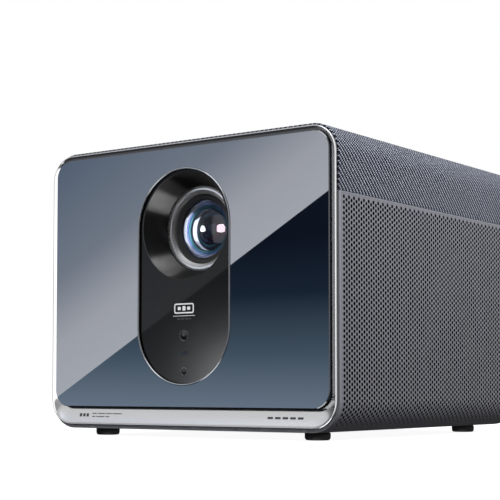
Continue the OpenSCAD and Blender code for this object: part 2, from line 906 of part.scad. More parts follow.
module fan_frame(side) {
    x0 = side * fan_x - fan_t / 2;
    hub_x0 = side > 0 ? x0 : x0 + fan_t - 4;
    difference() {
        union() {
            block([x0, fan_y - fan_side / 2, fan_z - fan_side / 2],
                [x0 + fan_t, fan_y + fan_side / 2, fan_z + fan_side / 2]);
            for (y = [-fan_side / 2, fan_side / 2 - 10]) block([side * fan_post_x - 4, fan_y + y, floor_z],
                [side * fan_post_x + 4, fan_y + y + 10, fan_z - fan_side / 2]);
        }
        difference() {
            bar_x(fan_y, fan_z, fan_hole_r, x0 - 1, x0 + fan_t + 1);
            bar_x(fan_y, fan_z, hub_r, hub_x0, hub_x0 + 4);
            for (a = [45 : 90 : 315]) translate([hub_x0, fan_y, fan_z]) rotate([a, 0, 0])
                translate([0, hub_r - 2, -1.5]) cube([3, fan_hole_r - hub_r + 4, 3]);
        }
        bar_x(fan_y, fan_z, axle_r + running_gap, hub_x0 - 1, hub_x0 + 5);
    }
}

module fan_rotor(side) {
    x0 = side > 0 ? fan_x - fan_t / 2 + 5 : -fan_x - fan_t / 2 + 1;
    length = fan_t - 6;
    bar_x(fan_y, fan_z, hub_r, x0, x0 + length);
    bar_x(fan_y, fan_z, axle_r, side > 0 ? x0 - 4.5 : x0 + length, side > 0 ? x0 : x0 + length + 4.5);
    for (i = [0 : blades - 1]) translate([x0 + length / 2, fan_y, fan_z])
        rotate([i * 360 / blades, 0, 0]) rotate([0, 0, 45])
            translate([-blade_t / 2, -blade_chord / 2, hub_r - 2])
            cube([blade_t, blade_chord, blade_tip_r - hub_r + 2]);
}

module fan_left_frame() color("black") fan_frame(LEFT);

module fan_right_frame() color("black") fan_frame(RIGHT);

module fan_left_rotor() color("dimgray") fan_rotor(LEFT);

module fan_right_rotor() color("dimgray") fan_rotor(RIGHT);

// ---- speakers ----

// Box of the speaker, set in by t on every side
module speaker_box(side, t) {
    face = side * (speaker_face_x - t);
    back = side * (speaker_face_x - speaker_depth + t);
    block([min(face, back), speaker_y - speaker_w / 2 + t, speaker_z - speaker_h / 2 + t],
        [max(face, back), speaker_y + speaker_w / 2 - t, speaker_z + speaker_h / 2 - t]);
}

module speaker(side) {
    inside = side * (speaker_face_x - speaker_wall - 1);
    lip = side * (speaker_face_x + 2);
    difference() {
        speaker_box(side, 0);
        speaker_box(side, speaker_wall);
        bar_x(speaker_y, speaker_z, driver_r - 4, min(inside, lip), max(inside, lip));
    }
    for (y = [-24, 24]) translate([side * 90, speaker_y + y, floor_z])
        cylinder(r = 5, h = speaker_z - speaker_h / 2 - floor_z);
    flange = [[cone_out_r + 0.5, 0], [driver_r, 0], [driver_r, 2], [cone_out_r + 4, 2],
        [cone_out_r + 2, 3], [cone_out_r + 0.5, 2]];
    turned_x(speaker_y, speaker_z, [for (p = flange) [p[0], side * (speaker_face_x + p[1])]]);
}

module speaker_cone(side) {
    points = [[0, -9], [8, -9], [8, -8], [cone_out_r, 1], [cone_out_r, 2], [8.6, -6.6], [0, -4.5]];
    turned_x(speaker_y, speaker_z, [for (p = points) [p[0], side * (speaker_face_x + p[1])]]);
}

module speaker_left() color("black") speaker(LEFT);

module speaker_right() color("black") speaker(RIGHT);

module speaker_left_cone() color("dimgray") speaker_cone(LEFT);

module speaker_right_cone() color("dimgray") speaker_cone(RIGHT);

front_bezel();
front_glass();
glass_gasket();
pill_trim();
lens_bezel();
camera_window();
tof_window();
ir_window();
sensor_board();
front_frame();
lens_ring();
lens_barrel();
focus_ring_gear();
focus_pinion();
focus_motor();
focus_cell();
lens_front_element();
lens_second_element();
lower_shell();
top_shell();
fabric_cover();
left_grille();
right_grille();
left_dust_mesh();
right_dust_mesh();
rear_cover();
port_plate();
power_button();
status_led();
hdmi_ports();
usb_ports();
lan_port();
audio_jack();
power_inlet();
foot_front_left();
foot_front_right();
foot_rear_left();
foot_rear_right();
case_screws();
tripod_insert();
engine_tray();
light_engine();
dmd_board();
dmd_heatsink();
laser_module();
cold_plate();
heat_pipes();
heatsink_fins();
phosphor_wheel();
wheel_motor();
main_board();
power_board();
fan_left_frame();
fan_left_rotor();
fan_right_frame();
fan_right_rotor();
speaker_left();
speaker_left_cone();
speaker_right();
speaker_right_cone();
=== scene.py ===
"""Home projector. Shapes here are in millimetres in the CAD model's frame, and enter the scene in metres."""
import math

import bmesh
import bpy
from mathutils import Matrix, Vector


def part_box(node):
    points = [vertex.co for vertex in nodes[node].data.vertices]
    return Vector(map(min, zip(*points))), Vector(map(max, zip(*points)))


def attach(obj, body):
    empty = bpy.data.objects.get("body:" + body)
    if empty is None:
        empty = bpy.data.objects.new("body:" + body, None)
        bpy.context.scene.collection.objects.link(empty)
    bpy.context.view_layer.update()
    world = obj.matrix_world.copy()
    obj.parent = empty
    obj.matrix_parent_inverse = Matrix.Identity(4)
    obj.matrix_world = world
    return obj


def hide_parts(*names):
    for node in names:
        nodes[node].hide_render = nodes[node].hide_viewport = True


MM = 0.001
TAU = 2 * math.pi

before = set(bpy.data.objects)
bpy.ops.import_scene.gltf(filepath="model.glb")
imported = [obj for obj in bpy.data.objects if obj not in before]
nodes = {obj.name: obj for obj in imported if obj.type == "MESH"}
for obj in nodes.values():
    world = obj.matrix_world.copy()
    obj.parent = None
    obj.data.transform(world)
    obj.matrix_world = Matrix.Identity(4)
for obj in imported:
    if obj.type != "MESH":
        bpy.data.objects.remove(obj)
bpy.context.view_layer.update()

# ---- the CAD model's main sizes ----

BODY_W, BODY_Z0, BODY_Z1, BODY_R = 242.0, 5.3, 200.6, 20.0
SHELL_Y0, SHELL_Y1 = -127.6, 128.1
SEAM_Z = 156.8
FABRIC_T = 1.2
RIM_W, RIM_H, RIM_MID_Z, RIM_R, RIM_Y = 240.0, 191.5, 103.35, 18.0, -130.0
FLANGE_Y = -128.0
LIP_R = 0.75
GLASS_W, GLASS_H, GLASS_MID_Z, GLASS_R = 231.4, 174.9, 107.85, 12.0
GLASS_Y, GLASS_BACK = -130.9, -127.9
DISH_Y = -126.6
LENS_Z, PILL_LOW_Z = 142.0, 74.3
CAMERA_Z, TOF_Z, IR_Z = 68.5, 56.7, 44.4
PILL_R, TRIM_W, TRIM_Y = 39.25, 1.1, -131.5
INSERT_R, INSERT_Y = 38.05, -129.6
CONE_R, CONE_END_R, CONE_Y = 36.0, 29.4, -112.0
RING_R, RING_Y, RING_BACK = 29.2, -111.6, -104.0
PANEL_TOP, PANEL_Y0, PANEL_Y1, PANEL_IN_X, PANEL_T = 155.4, -125.0, 125.5, 108.0, 1.2
HOLE_STEP_Y, HOLE_STEP_S, HOLE_R = 3.02, 3.5, 1.3
FOOT_PLACES = {
    "foot_front_left": (-89.5, -104.0),
    "foot_front_right": (89.5, -104.0),
    "foot_rear_left": (-89.5, 100.0),
    "foot_rear_right": (89.5, 100.0),
}

# ---- prints: where they are, and how far they stand off ----

MARK_Z, RULE_Z, DASHES_Z = 86.6, 81.6, 79.6
CHIN_MARK_X, CHIN_BARS_X = -94.3, 67.4
PRINT_T = 0.05

# ---- materials ----


def new_material(name, color, roughness, metallic=0.0, **sockets):
    """A Principled material whose colour is lightly mottled by noise, with the noise as its bump."""
    bump = sockets.pop("bump", 0.05)
    scale = sockets.pop("scale", 900.0)
    vary = sockets.pop("vary", 0.06)
    spread = sockets.pop("spread", 0.04)
    mat = bpy.data.materials.new(name)
    mat.use_nodes = True
    tree = mat.node_tree
    bsdf = tree.nodes["Principled BSDF"]
    for key, value in sockets.items():
        bsdf.inputs[key.replace("_", " ")].default_value = value
    bsdf.inputs["Metallic"].default_value = metallic
    place = tree.nodes.new("ShaderNodeTexCoord")
    noise = tree.nodes.new("ShaderNodeTexNoise")
    noise.inputs["Scale"].default_value = scale
    noise.inputs["Detail"].default_value = 3.0
    tree.links.new(place.outputs["Object"], noise.inputs["Vector"])
    shade = tree.nodes.new("ShaderNodeMix")
    shade.data_type = "RGBA"
    shade.inputs["A"].default_value = (*[c * (1 - vary) for c in color], 1)
    shade.inputs["B"].default_value = (*[min(1, c * (1 + vary)) for c in color], 1)
    tree.links.new(noise.outputs["Fac"], shade.inputs["Factor"])
    tree.links.new(shade.outputs["Result"], bsdf.inputs["Base Color"])
    rough = tree.nodes.new("ShaderNodeMapRange")
    rough.inputs["To Min"].default_value = max(0.0, roughness - spread)
    rough.inputs["To Max"].default_value = min(1.0, roughness + spread)
    tree.links.new(noise.outputs["Fac"], rough.inputs["Value"])
    tree.links.new(rough.outputs["Result"], bsdf.inputs["Roughness"])
    if bump:
        add_bump(tree, noise.outputs["Fac"], bump, 0.0002)
    return mat


def add_bump(tree, height, strength, distance):
    push = tree.nodes.new("ShaderNodeBump")
    push.inputs["Strength"].default_value = strength
    push.inputs["Distance"].default_value = distance
    tree.links.new(height, push.inputs["Height"])
    tree.links.new(push.outputs["Normal"], tree.nodes["Principled BSDF"].inputs["Normal"])


def separated(tree, vector):
    """The X, Y and Z sockets of a vector socket."""
    parts = tree.nodes.new("ShaderNodeSeparateXYZ")
    tree.links.new(vector, parts.inputs["Vector"])
    return parts.outputs


def map_point(tree, name):
    """The vector socket of a mesh's map."""
    uv = tree.nodes.new("ShaderNodeUVMap")
    uv.uv_map = name
    return uv.outputs["UV"]


def color_ramp(tree, value, *stops):
    """A colour ramp over value, from (position, colour) stops. Returns its colour socket."""
    node = tree.nodes.new("ShaderNodeValToRGB")
    elements = node.color_ramp.elements
    for element, (position, color) in zip(elements, (stops[0], stops[-1])):
        element.position = position
        element.color = (*color, 1)
    for position, color in stops[1:-1]:
        elements.new(position).color = (*color, 1)
    tree.links.new(value, node.inputs["Fac"])
    return node.outputs["Color"]


def math_node(tree, operation, *values):
    """A Math node fed by sockets or numbers, in order. Returns its output."""
    node = tree.nodes.new("ShaderNodeMath")
    node.operation = operation
    for i, value in enumerate(values):
        if isinstance(value, (int, float)):
            node.inputs[i].default_value = value
        else:
            tree.links.new(value, node.inputs[i])
    return node.outputs[0]


def wave(tree, u, v, per_u, per_v, phase=0.0):
    """A cosine from 0 to 1 that runs per_u and per_v cycles for each millimetre of u and v."""
    turns = math_node(tree, "MULTIPLY_ADD", u, per_u, phase)
    turns = math_node(tree, "MULTIPLY_ADD", v, per_v, turns)
    angle = math_node(tree, "MULTIPLY", turns, TAU)
    return math_node(tree, "MULTIPLY_ADD", math_node(tree, "COSINE", angle), 0.5, 0.5)


def fabric_material():
    """A twill: light dashes that step along steep diagonals over a navy ground, on a map in millimetres."""
    mat = new_material("fabric_weave", (0.02, 0.024, 0.04), 0.85, vary=0.1, scale=500.0, bump=0.0,
                       Sheen_Weight=0.2, Sheen_Roughness=0.4)
    tree = mat.node_tree
    bsdf = tree.nodes["Principled BSDF"]
    bsdf.inputs["Sheen Tint"].default_value = (0.75, 0.8, 1.0, 1)
    bsdf.inputs["Specular IOR Level"].default_value = 0.3
    uv = map_point(tree, "weave")
    parts = separated(tree, uv)
    along, y = parts["X"], parts["Y"]
    lines = wave(tree, along, y, -269.0, 249.0)
    steps = wave(tree, along, y, 620.0, 391.0, 0.2)
    noise = tree.nodes.new("ShaderNodeTexNoise")
    noise.inputs["Scale"].default_value = 700.0
    noise.inputs["Detail"].default_value = 2.0
    tree.links.new(uv, noise.inputs["Vector"])
    height = math_node(tree, "MULTIPLY_ADD", lines, 0.62, math_node(tree, "MULTIPLY", steps, 0.38))
    grain = math_node(tree, "MULTIPLY_ADD", noise.outputs["Fac"], 0.36, -0.18)
    height = math_node(tree, "ADD", height, grain)
    color = color_ramp(tree, height, (0.36, (0.010, 0.012, 0.022)), (0.58, (0.052, 0.058, 0.08)),
                       (0.82, (0.62, 0.65, 0.73)))
    tree.links.new(color, bsdf.inputs["Base Color"])
    add_bump(tree, height, 0.6, 0.0004)
    return mat


M = {
    "bezel": new_material("satin_aluminium", (0.8, 0.8, 0.81), 0.16, 1.0, scale=2500.0, bump=0.02, vary=0.02),
    "glass": new_material("tinted_glass", (0.008, 0.012, 0.02), 0.006, scale=20.0, bump=0.0, vary=0.1,
                          IOR=2.5, spread=0.003),
    "chrome": new_material("bright_chrome", (0.55, 0.56, 0.58), 0.16, 1.0, scale=1500.0, bump=0.01, vary=0.02),
    "gloss": new_material("gloss_black", (0.006, 0.0058, 0.0058), 0.18, scale=60.0, bump=0.0, spread=0.01,
                          Specular_IOR_Level=0.05, Coat_Weight=1.0, Coat_Roughness=0.02, Coat_IOR=1.17),
    "cone": new_material("cone_black", (0.006, 0.006, 0.006), 0.32, scale=900.0, bump=0.0, spread=0.01,
                         Specular_IOR_Level=0.3, Anisotropic=1.0, Anisotropic_Rotation=0.25),
    "dark_satin": new_material("dark_satin", (0.016, 0.016, 0.0165), 0.33, scale=1200.0, bump=0.04),
    "knurl": new_material("knurled_aluminium", (0.86, 0.86, 0.87), 0.26, 0.7, scale=2600.0, bump=0.08),
    "shell": new_material("shell_paint", (0.40, 0.405, 0.45), 0.42, scale=1600.0, bump=0.1),
    "grille": new_material("grille_paint", (0.335, 0.335, 0.37), 0.4, 0.25, scale=1600.0, bump=0.06),
    # The dust cloth is the dust mesh's own black, and also painted shade on the grille's hole walls.
    "mesh": new_material("dust_cloth_and_hole_shade", (0.002, 0.002, 0.003), 0.9, scale=2400.0, bump=0.4, vary=0.4),
    "rubber": new_material("foot_rubber", (0.016, 0.016, 0.017), 0.62, scale=1300.0, bump=0.15),
    "fabric": fabric_material(),
    "foam": new_material("black_foam", (0.01, 0.01, 0.01), 0.95, scale=1800.0, bump=0.5, vary=0.3),
    "plastic": new_material("inner_plastic", (0.03, 0.03, 0.034), 0.5, scale=900.0, bump=0.08),
    "ports": new_material("port_black", (0.018, 0.018, 0.02), 0.45, scale=1200.0, bump=0.1),
    "button": new_material("button_plastic", (0.16, 0.17, 0.2), 0.35, scale=1500.0, bump=0.05),
    "light_pipe": new_material("light_pipe", (0.85, 0.87, 0.9), 0.35, scale=600.0, bump=0.02,
                               Transmission_Weight=0.4),
    "steel": new_material("plated_steel", (0.55, 0.55, 0.57), 0.3, 1.0, scale=800.0, bump=0.05),
    "brass": new_material("turned_brass", (0.72, 0.55, 0.25), 0.28, 1.0, scale=900.0, bump=0.05),
    "board": new_material("solder_mask", (0.02, 0.11, 0.06), 0.35, scale=260.0, bump=0.15, vary=0.35),
    "cast": new_material("die_cast", (0.34, 0.35, 0.37), 0.5, 0.9, scale=700.0, bump=0.3),
    "fins": new_material("rolled_aluminium", (0.7, 0.71, 0.73), 0.32, 1.0, scale=500.0, bump=0.05),
    "copper": new_material("copper", (0.75, 0.35, 0.2), 0.27, 1.0, scale=400.0, bump=0.04, vary=0.12),
    "phosphor": new_material("phosphor_coat", (0.8, 0.68, 0.12), 0.4, scale=900.0, bump=0.2),
    "gear": new_material("gear_plastic", (0.62, 0.6, 0.55), 0.45, scale=900.0, bump=0.05),
    "fan": new_material("fan_plastic", (0.025, 0.025, 0.028), 0.4, scale=900.0, bump=0.05),
    "paper": new_material("cone_paper", (0.05, 0.05, 0.052), 0.85, scale=1500.0, bump=0.5, vary=0.2),
    "window": new_material("window_glass", (0.006, 0.007, 0.01), 0.08, scale=80.0, bump=0.0, IOR=1.7),
    "print": new_material("white_print", (0.85, 0.86, 0.87), 0.5, scale=2000.0, bump=0.03),
    "grey_print": new_material("grey_print", (0.13, 0.135, 0.145), 0.5, scale=2000.0, bump=0.03),
    "mid_print": new_material("mid_print", (0.3, 0.3, 0.31), 0.5, scale=2000.0, bump=0.03),
    "faint_print": new_material("faint_print", (0.045, 0.045, 0.046), 0.4, scale=2000.0, bump=0.03),
    "lens": new_material("lens_glass", (0.96, 0.98, 1.0), 0.0, scale=50.0, bump=0.0, vary=0.0, IOR=1.3,
                         Transmission_Weight=1.0, spread=0.0),
    "coat_blue": new_material("coating_blue", (0.30, 0.42, 0.85), 0.1, 1.0, scale=120.0, bump=0.0, vary=0.1),
    "coat_teal": new_material("coating_teal", (0.12, 0.34, 0.42), 0.14, 1.0, scale=120.0, bump=0.0, vary=0.15),
    "coat_pale": new_material("coating_pale", (0.78, 0.82, 1.0), 0.08, 1.0, scale=120.0, bump=0.0, vary=0.05),
    "coat_navy": new_material("coating_navy", (0.004, 0.007, 0.02), 0.08, scale=120.0, bump=0.0, vary=0.2,
                              IOR=1.4),
    "coat_rose": new_material("coating_rose", (0.62, 0.16, 0.28), 0.09, 1.0, scale=120.0, bump=0.0, vary=0.1),
}


def turn_finish(mat):
    """Stretches the highlights of a turned surface across its grooves, which run round a line along Y."""
    tree = mat.node_tree
    tangent = tree.nodes.new("ShaderNodeTangent")
    tangent.direction_type = "RADIAL"
    tangent.axis = "Y"
    tree.links.new(tangent.outputs["Tangent"], tree.nodes["Principled BSDF"].inputs["Tangent"])


turn_finish(M["cone"])

# ---- mesh helpers ----


def add_object(name, data):
    obj = bpy.data.objects.new(name, data)
    bpy.context.scene.collection.objects.link(obj)
    return obj


def add_mesh(name, verts, faces, mat, body="housing", flat_over=35.0):
    """A mesh object from points in millimetres, smooth but for edges sharper than flat_over degrees."""
    mesh = bpy.data.meshes.new(name)
    mesh.from_pydata([Vector(v) * MM for v in verts], [], faces)
    mesh.validate()
    bm = bmesh.new()
    bm.from_mesh(mesh)
    bmesh.ops.recalc_face_normals(bm, faces=bm.faces)
    bm.to_mesh(mesh)
    bm.free()
    mesh.materials.append(mat)
    mesh.shade_smooth()
    mesh.set_sharp_from_angle(angle=math.radians(flat_over))
    obj = add_object(name, mesh)
    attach(obj, body)
    return obj


def rounded_outline(w, h, r, mid_z, corner=14, side=10):
    """Points [x, z] round a rounded rectangle, the same number for any size, from the top right corner on."""
    points = []
    corners = [(1, 1, 0), (-1, 1, 90), (-1, -1, 180), (1, -1, 270)]
    for i, (sx, sz, start) in enumerate(corners):
        cx, cz = sx * (w / 2 - r), mid_z + sz * (h / 2 - r)
        for k in range(corner + 1):
            a = math.radians(start + 90 * k / corner)
            points.append((cx + r * math.cos(a), cz + r * math.sin(a)))
        nx, nz, nstart = corners[(i + 1) % 4]
        ex, ez = nx * (w / 2 - r), mid_z + nz * (h / 2 - r)
        a = math.radians(nstart)
        end = (ex + r * math.cos(a), ez + r * math.sin(a))
        first = points[-1]
        for k in range(1, side):
            t = k / side
            points.append((first[0] + (end[0] - first[0]) * t, first[1] + (end[1] - first[1]) * t))
    return points


def pill_outline(r, n=48):
    """Points [x, z] round the pill, the same number for any radius."""
    points = []
    for k in range(n + 1):
        a = math.pi * k / n
        points.append((r * math.cos(a), LENS_Z + r * math.sin(a)))
    for k in range(1, 12):
        points.append((-r, LENS_Z + (PILL_LOW_Z - LENS_Z) * k / 12))
    for k in range(n + 1):
        a = math.pi + math.pi * k / n
        points.append((r * math.cos(a), PILL_LOW_Z + r * math.sin(a)))
    for k in range(1, 12):
        points.append((r, PILL_LOW_Z + (LENS_Z - PILL_LOW_Z) * k / 12))
    return points


def loft(name, rings, mat, body="housing", close=False, cap_first=False, cap_last=False, **more):
    """A skin through rings of (outline, y); with close, the last ring joins the first one."""
    count = len(rings[0][0])
    verts = [(x, y, z) for outline, y in rings for x, z in outline]
    faces = []
    spans = len(rings) if close else len(rings) - 1
    for i in range(spans):
        a, b = i * count, ((i + 1) % len(rings)) * count
        for k in range(count):
            n = (k + 1) % count
            faces.append((a + k, a + n, b + n, b + k))
    if cap_first:
        faces.append(tuple(range(count)))
    if cap_last:
        faces.append(tuple(range((len(rings) - 1) * count, len(rings) * count)))
    return add_mesh(name, verts, faces, mat, body, **more)


def turned(name, profile, mat, body="housing", centre=(0.0, LENS_Z), n=128, close=True, ripple=None, **more):
    """A solid of revolution about a line along Y through centre [x, z], from [radius, y] points."""
    verts, faces = [], []
    count = len(profile)
    for k in range(n):
        a = TAU * k / n
        for i, (r, y) in enumerate(profile):
            dr, dy = ripple(i, k) if ripple else (0.0, 0.0)
            verts.append((centre[0] + (r + dr) * math.cos(a), y + dy, centre[1] + (r + dr) * math.sin(a)))
    spans = count if close else count - 1
    for k in range(n):
        m = (k + 1) % n
        for i in range(spans):
            j = (i + 1) % count
            faces.append((k * count + i, k * count + j, m * count + j, m * count + i))
    obj = add_mesh(name, verts, faces, mat, body, **more)
    weld(obj)
    return obj


def weld(obj, distance=1e-6):
    bm = bmesh.new()
    bm.from_mesh(obj.data)
    bmesh.ops.remove_doubles(bm, verts=bm.verts, dist=distance)
    bmesh.ops.recalc_face_normals(bm, faces=bm.faces)
    bm.to_mesh(obj.data)
    bm.free()


def plate(name, outline, y0, y1, mat, body="housing", edge=0.15):
    """A thin plate between two depths with a small chamfer round its front; outline is [x, z] points."""
    cx = sum(p[0] for p in outline) / len(outline)
    cz = sum(p[1] for p in outline) / len(outline)
    reach = max(math.hypot(p[0] - cx, p[1] - cz) for p in outline)
    inner = [(cx + (x - cx) * (1 - edge / reach), cz + (z - cz) * (1 - edge / reach)) for x, z in outline]
    return loft(name, [(outline, y1), (outline, y0 + edge), (inner, y0)], mat, body,
                cap_first=True, cap_last=True)


def dress(name, mat, bevel):
    """Gives a carried-over CAD node its material, and rounds its edges by bevel millimetres."""
    obj = nodes[name]
    obj.data.materials.clear()
    obj.data.materials.append(M[mat])
    if not bevel:
        return
    for edge in obj.data.edges:
        edge.use_edge_sharp = False
    join = obj.modifiers.new("join", "WELD")
    join.merge_threshold = 0.000005
    soft = obj.modifiers.new("soft", "BEVEL")
    soft.width = bevel * MM
    soft.segments = 2
    soft.limit_method = "ANGLE"
    soft.angle_limit = math.radians(40)
    soft.harden_normals = True


# ---- front bezel ----


def rim(t):
    return rounded_outline(RIM_W - 2 * t, RIM_H - 2 * t, RIM_R - t, RIM_MID_Z)


def glass_line(t):
    return rounded_outline(GLASS_W - 2 * t, GLASS_H - 2 * t, GLASS_R - t, GLASS_MID_Z)


def between(a, b, t):
    return [(p[0] + (q[0] - p[0]) * t, p[1] + (q[1] - p[1]) * t) for p, q in zip(a, b)]


def cove_y(t):
    """Depth of the cove a share t of the way from the lip to the glass's edge."""
    return RIM_Y + 0.42 + (DISH_Y - RIM_Y - 0.42) * (0.75 * t + 0.25 * t ** 4)


def build_bezel():
    lip_in = rim(1.35)
    floor = glass_line(1.2)
    rings = [(rim(3.0), FLANGE_Y), (rim(0.25), FLANGE_Y), (rim(0.0), FLANGE_Y - 0.25),
             (rim(0.0), RIM_Y + LIP_R)]
    for k in range(1, 7):
        a = math.radians(90 * k / 6)
        rings.append((rim(LIP_R * (1 - math.cos(a))), RIM_Y + LIP_R - LIP_R * math.sin(a)))
    rings += [(rim(LIP_R + 0.15), RIM_Y + 0.02), (rim(LIP_R + 0.3), RIM_Y + 0.14), (lip_in, RIM_Y + 0.42)]
    steps = 16
    for k in range(1, steps + 1):
        t = k / steps
        rings.append((between(lip_in, floor, t), cove_y(t)))
    inner = glass_line(6.0)
    rings += [(inner, DISH_Y), (inner, DISH_Y + 1.2), (rim(3.0), DISH_Y + 1.2)]
    piece = loft("bezel", rings, M["bezel"], close=True, flat_over=50)
    back_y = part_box("front_bezel")[1].y / MM
    skirt_rings = []
    for t, y in ((3.9, -128.6), (3.9, back_y), (6.3, back_y), (6.3, -125.5)):
        skirt_rings.append((rounded_outline(BODY_W - 2 * t, BODY_Z1 - BODY_Z0 - 2 * t, BODY_R - t,
                                            (BODY_Z0 + BODY_Z1) / 2), y))
    skirt = loft("bezel_skirt", skirt_rings, M["plastic"], close=True)
    back_outline = rounded_outline(RIM_W - 8, RIM_H - 8, RIM_R - 5, RIM_MID_Z)
    back = plate_with_pill("bezel_dish", back_outline, DISH_Y + 0.05, -124.6, M["plastic"])
    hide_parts("front_bezel")
    return piece


def star_outline(outline, angles):
    """Where rays from the lens axis at the given angles meet a closed outline of [x, z] points."""
    found = []
    for a in angles:
        dx, dz = math.cos(a), math.sin(a)
        best = None
        for (x0, z0), (x1, z1) in zip(outline, outline[1:] + outline[:1]):
            z0r, z1r = z0 - LENS_Z, z1 - LENS_Z
            ex, ez = x1 - x0, z1r - z0r
            det = dx * ez - dz * ex
            if abs(det) < 1e-12:
                continue
            reach = (x0 * ez - z0r * ex) / det
            along = (x0 * dz - z0r * dx) / det
            if reach > 0 and -1e-9 <= along <= 1 + 1e-9:
                best = reach if best is None else min(best, reach)
        found.append((dx * best, LENS_Z + dz * best))
    return found


def ray_angles(n=180):
    """Angles round the lens axis, closer together downwards where the pill is far away."""
    return [TAU * k / n - 0.35 * math.sin(TAU * k / n + math.pi / 2) for k in range(n)]


def plate_with_pill(name, outline, y0, y1, mat):
    """A plate between two depths, with the pill cut out of it."""
    angles = ray_angles()
    hole = star_outline(pill_outline(PILL_R + 0.1), angles)
    outer = star_outline(outline, angles)
    return loft(name, [(hole, y1), (hole, y0), (outer, y0), (outer, y1)], mat, close=True)


build_bezel()


def build_glass():
    """A face with the pill cut out, made on its outline's own points, so that its corners stay smooth."""
    outer = glass_line(0.0)
    inner = glass_line(0.45)
    hole = pill_outline(PILL_R + 0.1)
    bm = bmesh.new()

    def ring(outline, y):
        return [bm.verts.new(Vector((x, y, z)) * MM) for x, z in outline]

    def bridge(a, b):
        for k in range(len(a)):
            n = (k + 1) % len(a)
            bm.faces.new((a[k], a[n], b[n], b[k]))

    front_face, edge_face = ring(inner, GLASS_Y), ring(outer, GLASS_Y + 0.45)
    back_face = ring(outer, GLASS_BACK)
    hole_front, hole_back = ring(hole, GLASS_Y), ring(hole, GLASS_BACK)
    bridge(front_face, edge_face)
    bridge(edge_face, back_face)
    bridge(hole_front, hole_back)
    for loops in ((front_face, hole_front), (back_face, hole_back)):
        edges = []
        for loop in loops:
            for k in range(len(loop)):
                edge = bm.edges.get((loop[k], loop[(k + 1) % len(loop)]))
                edges.append(edge or bm.edges.new((loop[k], loop[(k + 1) % len(loop)])))
        bmesh.ops.triangle_fill(bm, edges=edges, use_beauty=True)
    bmesh.ops.recalc_face_normals(bm, faces=bm.faces)
    mesh = bpy.data.meshes.new("glass_plate")
    bm.to_mesh(mesh)
    bm.free()
    mesh.materials.append(M["glass"])
    obj = add_object("glass_plate", mesh)
    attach(obj, "housing")
    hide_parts("front_glass")


build_glass()

# ---- pill trim and lens insert ----


def build_trim():
    outer, inner = PILL_R, PILL_R - TRIM_W
    profile = [(outer, DISH_Y), (outer, TRIM_Y + 0.35), (outer - 0.1, TRIM_Y + 0.1), (outer - 0.35, TRIM_Y),
               (inner + 0.3, TRIM_Y + 0.05), (inner + 0.08, TRIM_Y + 0.25), (inner, TRIM_Y + 0.6),
               (inner, DISH_Y)]
    rings = [(pill_outline(r), y) for r, y in profile]
    piece = loft("pill_trim_ring", rings, M["chrome"], close=True, flat_over=60)
    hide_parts("pill_trim")


build_trim()


def build_insert():
    angles = ray_angles()
    lip = 0.7
    edge = star_outline(pill_outline(INSERT_R), angles)
    edge_in = star_outline(pill_outline(INSERT_R - 0.3), angles)

    def circle(r):
        return [(r * math.cos(a), LENS_Z + r * math.sin(a)) for a in angles]

    rings = [(edge, DISH_Y), (edge, INSERT_Y + 0.3), (edge_in, INSERT_Y), (circle(CONE_R + lip), INSERT_Y),
             (circle(CONE_R + 0.25), INSERT_Y)]
    face = loft("insert_face", rings, M["gloss"], flat_over=12)
    ridges = 22
    start_r, start_y = CONE_R - 0.15, INSERT_Y + 0.6
    profile = [(CONE_R + 0.25, INSERT_Y), (CONE_R + 0.05, INSERT_Y + 0.08), (CONE_R - 0.1, INSERT_Y + 0.35),
               (start_r, start_y)]
    crest = turned("insert_crest", profile, M["dark_satin"], n=180, close=False, flat_over=70)
    profile = [(start_r, start_y)]
    for k in range(ridges):
        for t, lift in ((0.1, 0.0), (0.45, 0.07), (0.6, 0.07), (0.95, 0.0)):
            s = (k + t) / ridges
            r, y = start_r + (CONE_END_R - start_r) * s, start_y + (CONE_Y - start_y) * s
            profile.append((r - lift, y - lift))
    profile += [(CONE_END_R, CONE_Y), (CONE_END_R + 1.8, CONE_Y)]
    cone = turned("insert_cone", profile, M["cone"], n=180, close=False, flat_over=70)
    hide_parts("lens_bezel")


build_insert()

# ---- lens ring, cell and elements ----


def build_ring():
    """The ring's front face, with a row of notches sunk into it near its rim, their insides darkened as
    painted shade.
    """
    notches, spans_per_notch = 84, 4
    front = [(24.0, 1.9), (24.9, 1.4), (25.3, 1.25), (25.9, 0.9), (26.05, 0.35), (26.2, 0.1), (26.45, 0.0),
             (26.6, 0.0), (27.45, 0.0), (27.6, 0.0), (27.9, 0.02), (28.3, 0.02), (28.7, 0.04), (29.0, 0.2),
             (RING_R, 0.6)]
    profile = [(24.0, RING_BACK)] + [(r, RING_Y + back) for r, back in front] + [(RING_R, RING_BACK)]
    notch_depths = {11: 1.0, 12: 1.2, 13: 1.0}

    def ripple(i, k):
        return 0.0, notch_depths.get(i, 0.0) if k % spans_per_notch < 2 else 0.0

    ring = turned("knurled_ring", profile, M["knurl"], n=notches * spans_per_notch, ripple=ripple,
                  flat_over=30)
    # The faces sunk into the notches take the dark satin: painted shade in the notches.
    ring.data.materials.append(M["dark_satin"])
    for face in ring.data.polygons:
        middle = face.center / MM
        r = math.hypot(middle.x, middle.z - LENS_Z)
        if 27.6 < r < 28.9 and middle.y > RING_Y + 0.45:
            face.material_index = 1
    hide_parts("lens_ring")
    sleeve = turned("ring_sleeve", [(28.2, RING_BACK), (28.2, -92.2), (26.05, -92.2), (26.05, RING_BACK)],
                    M["dark_satin"], n=96)


build_ring()


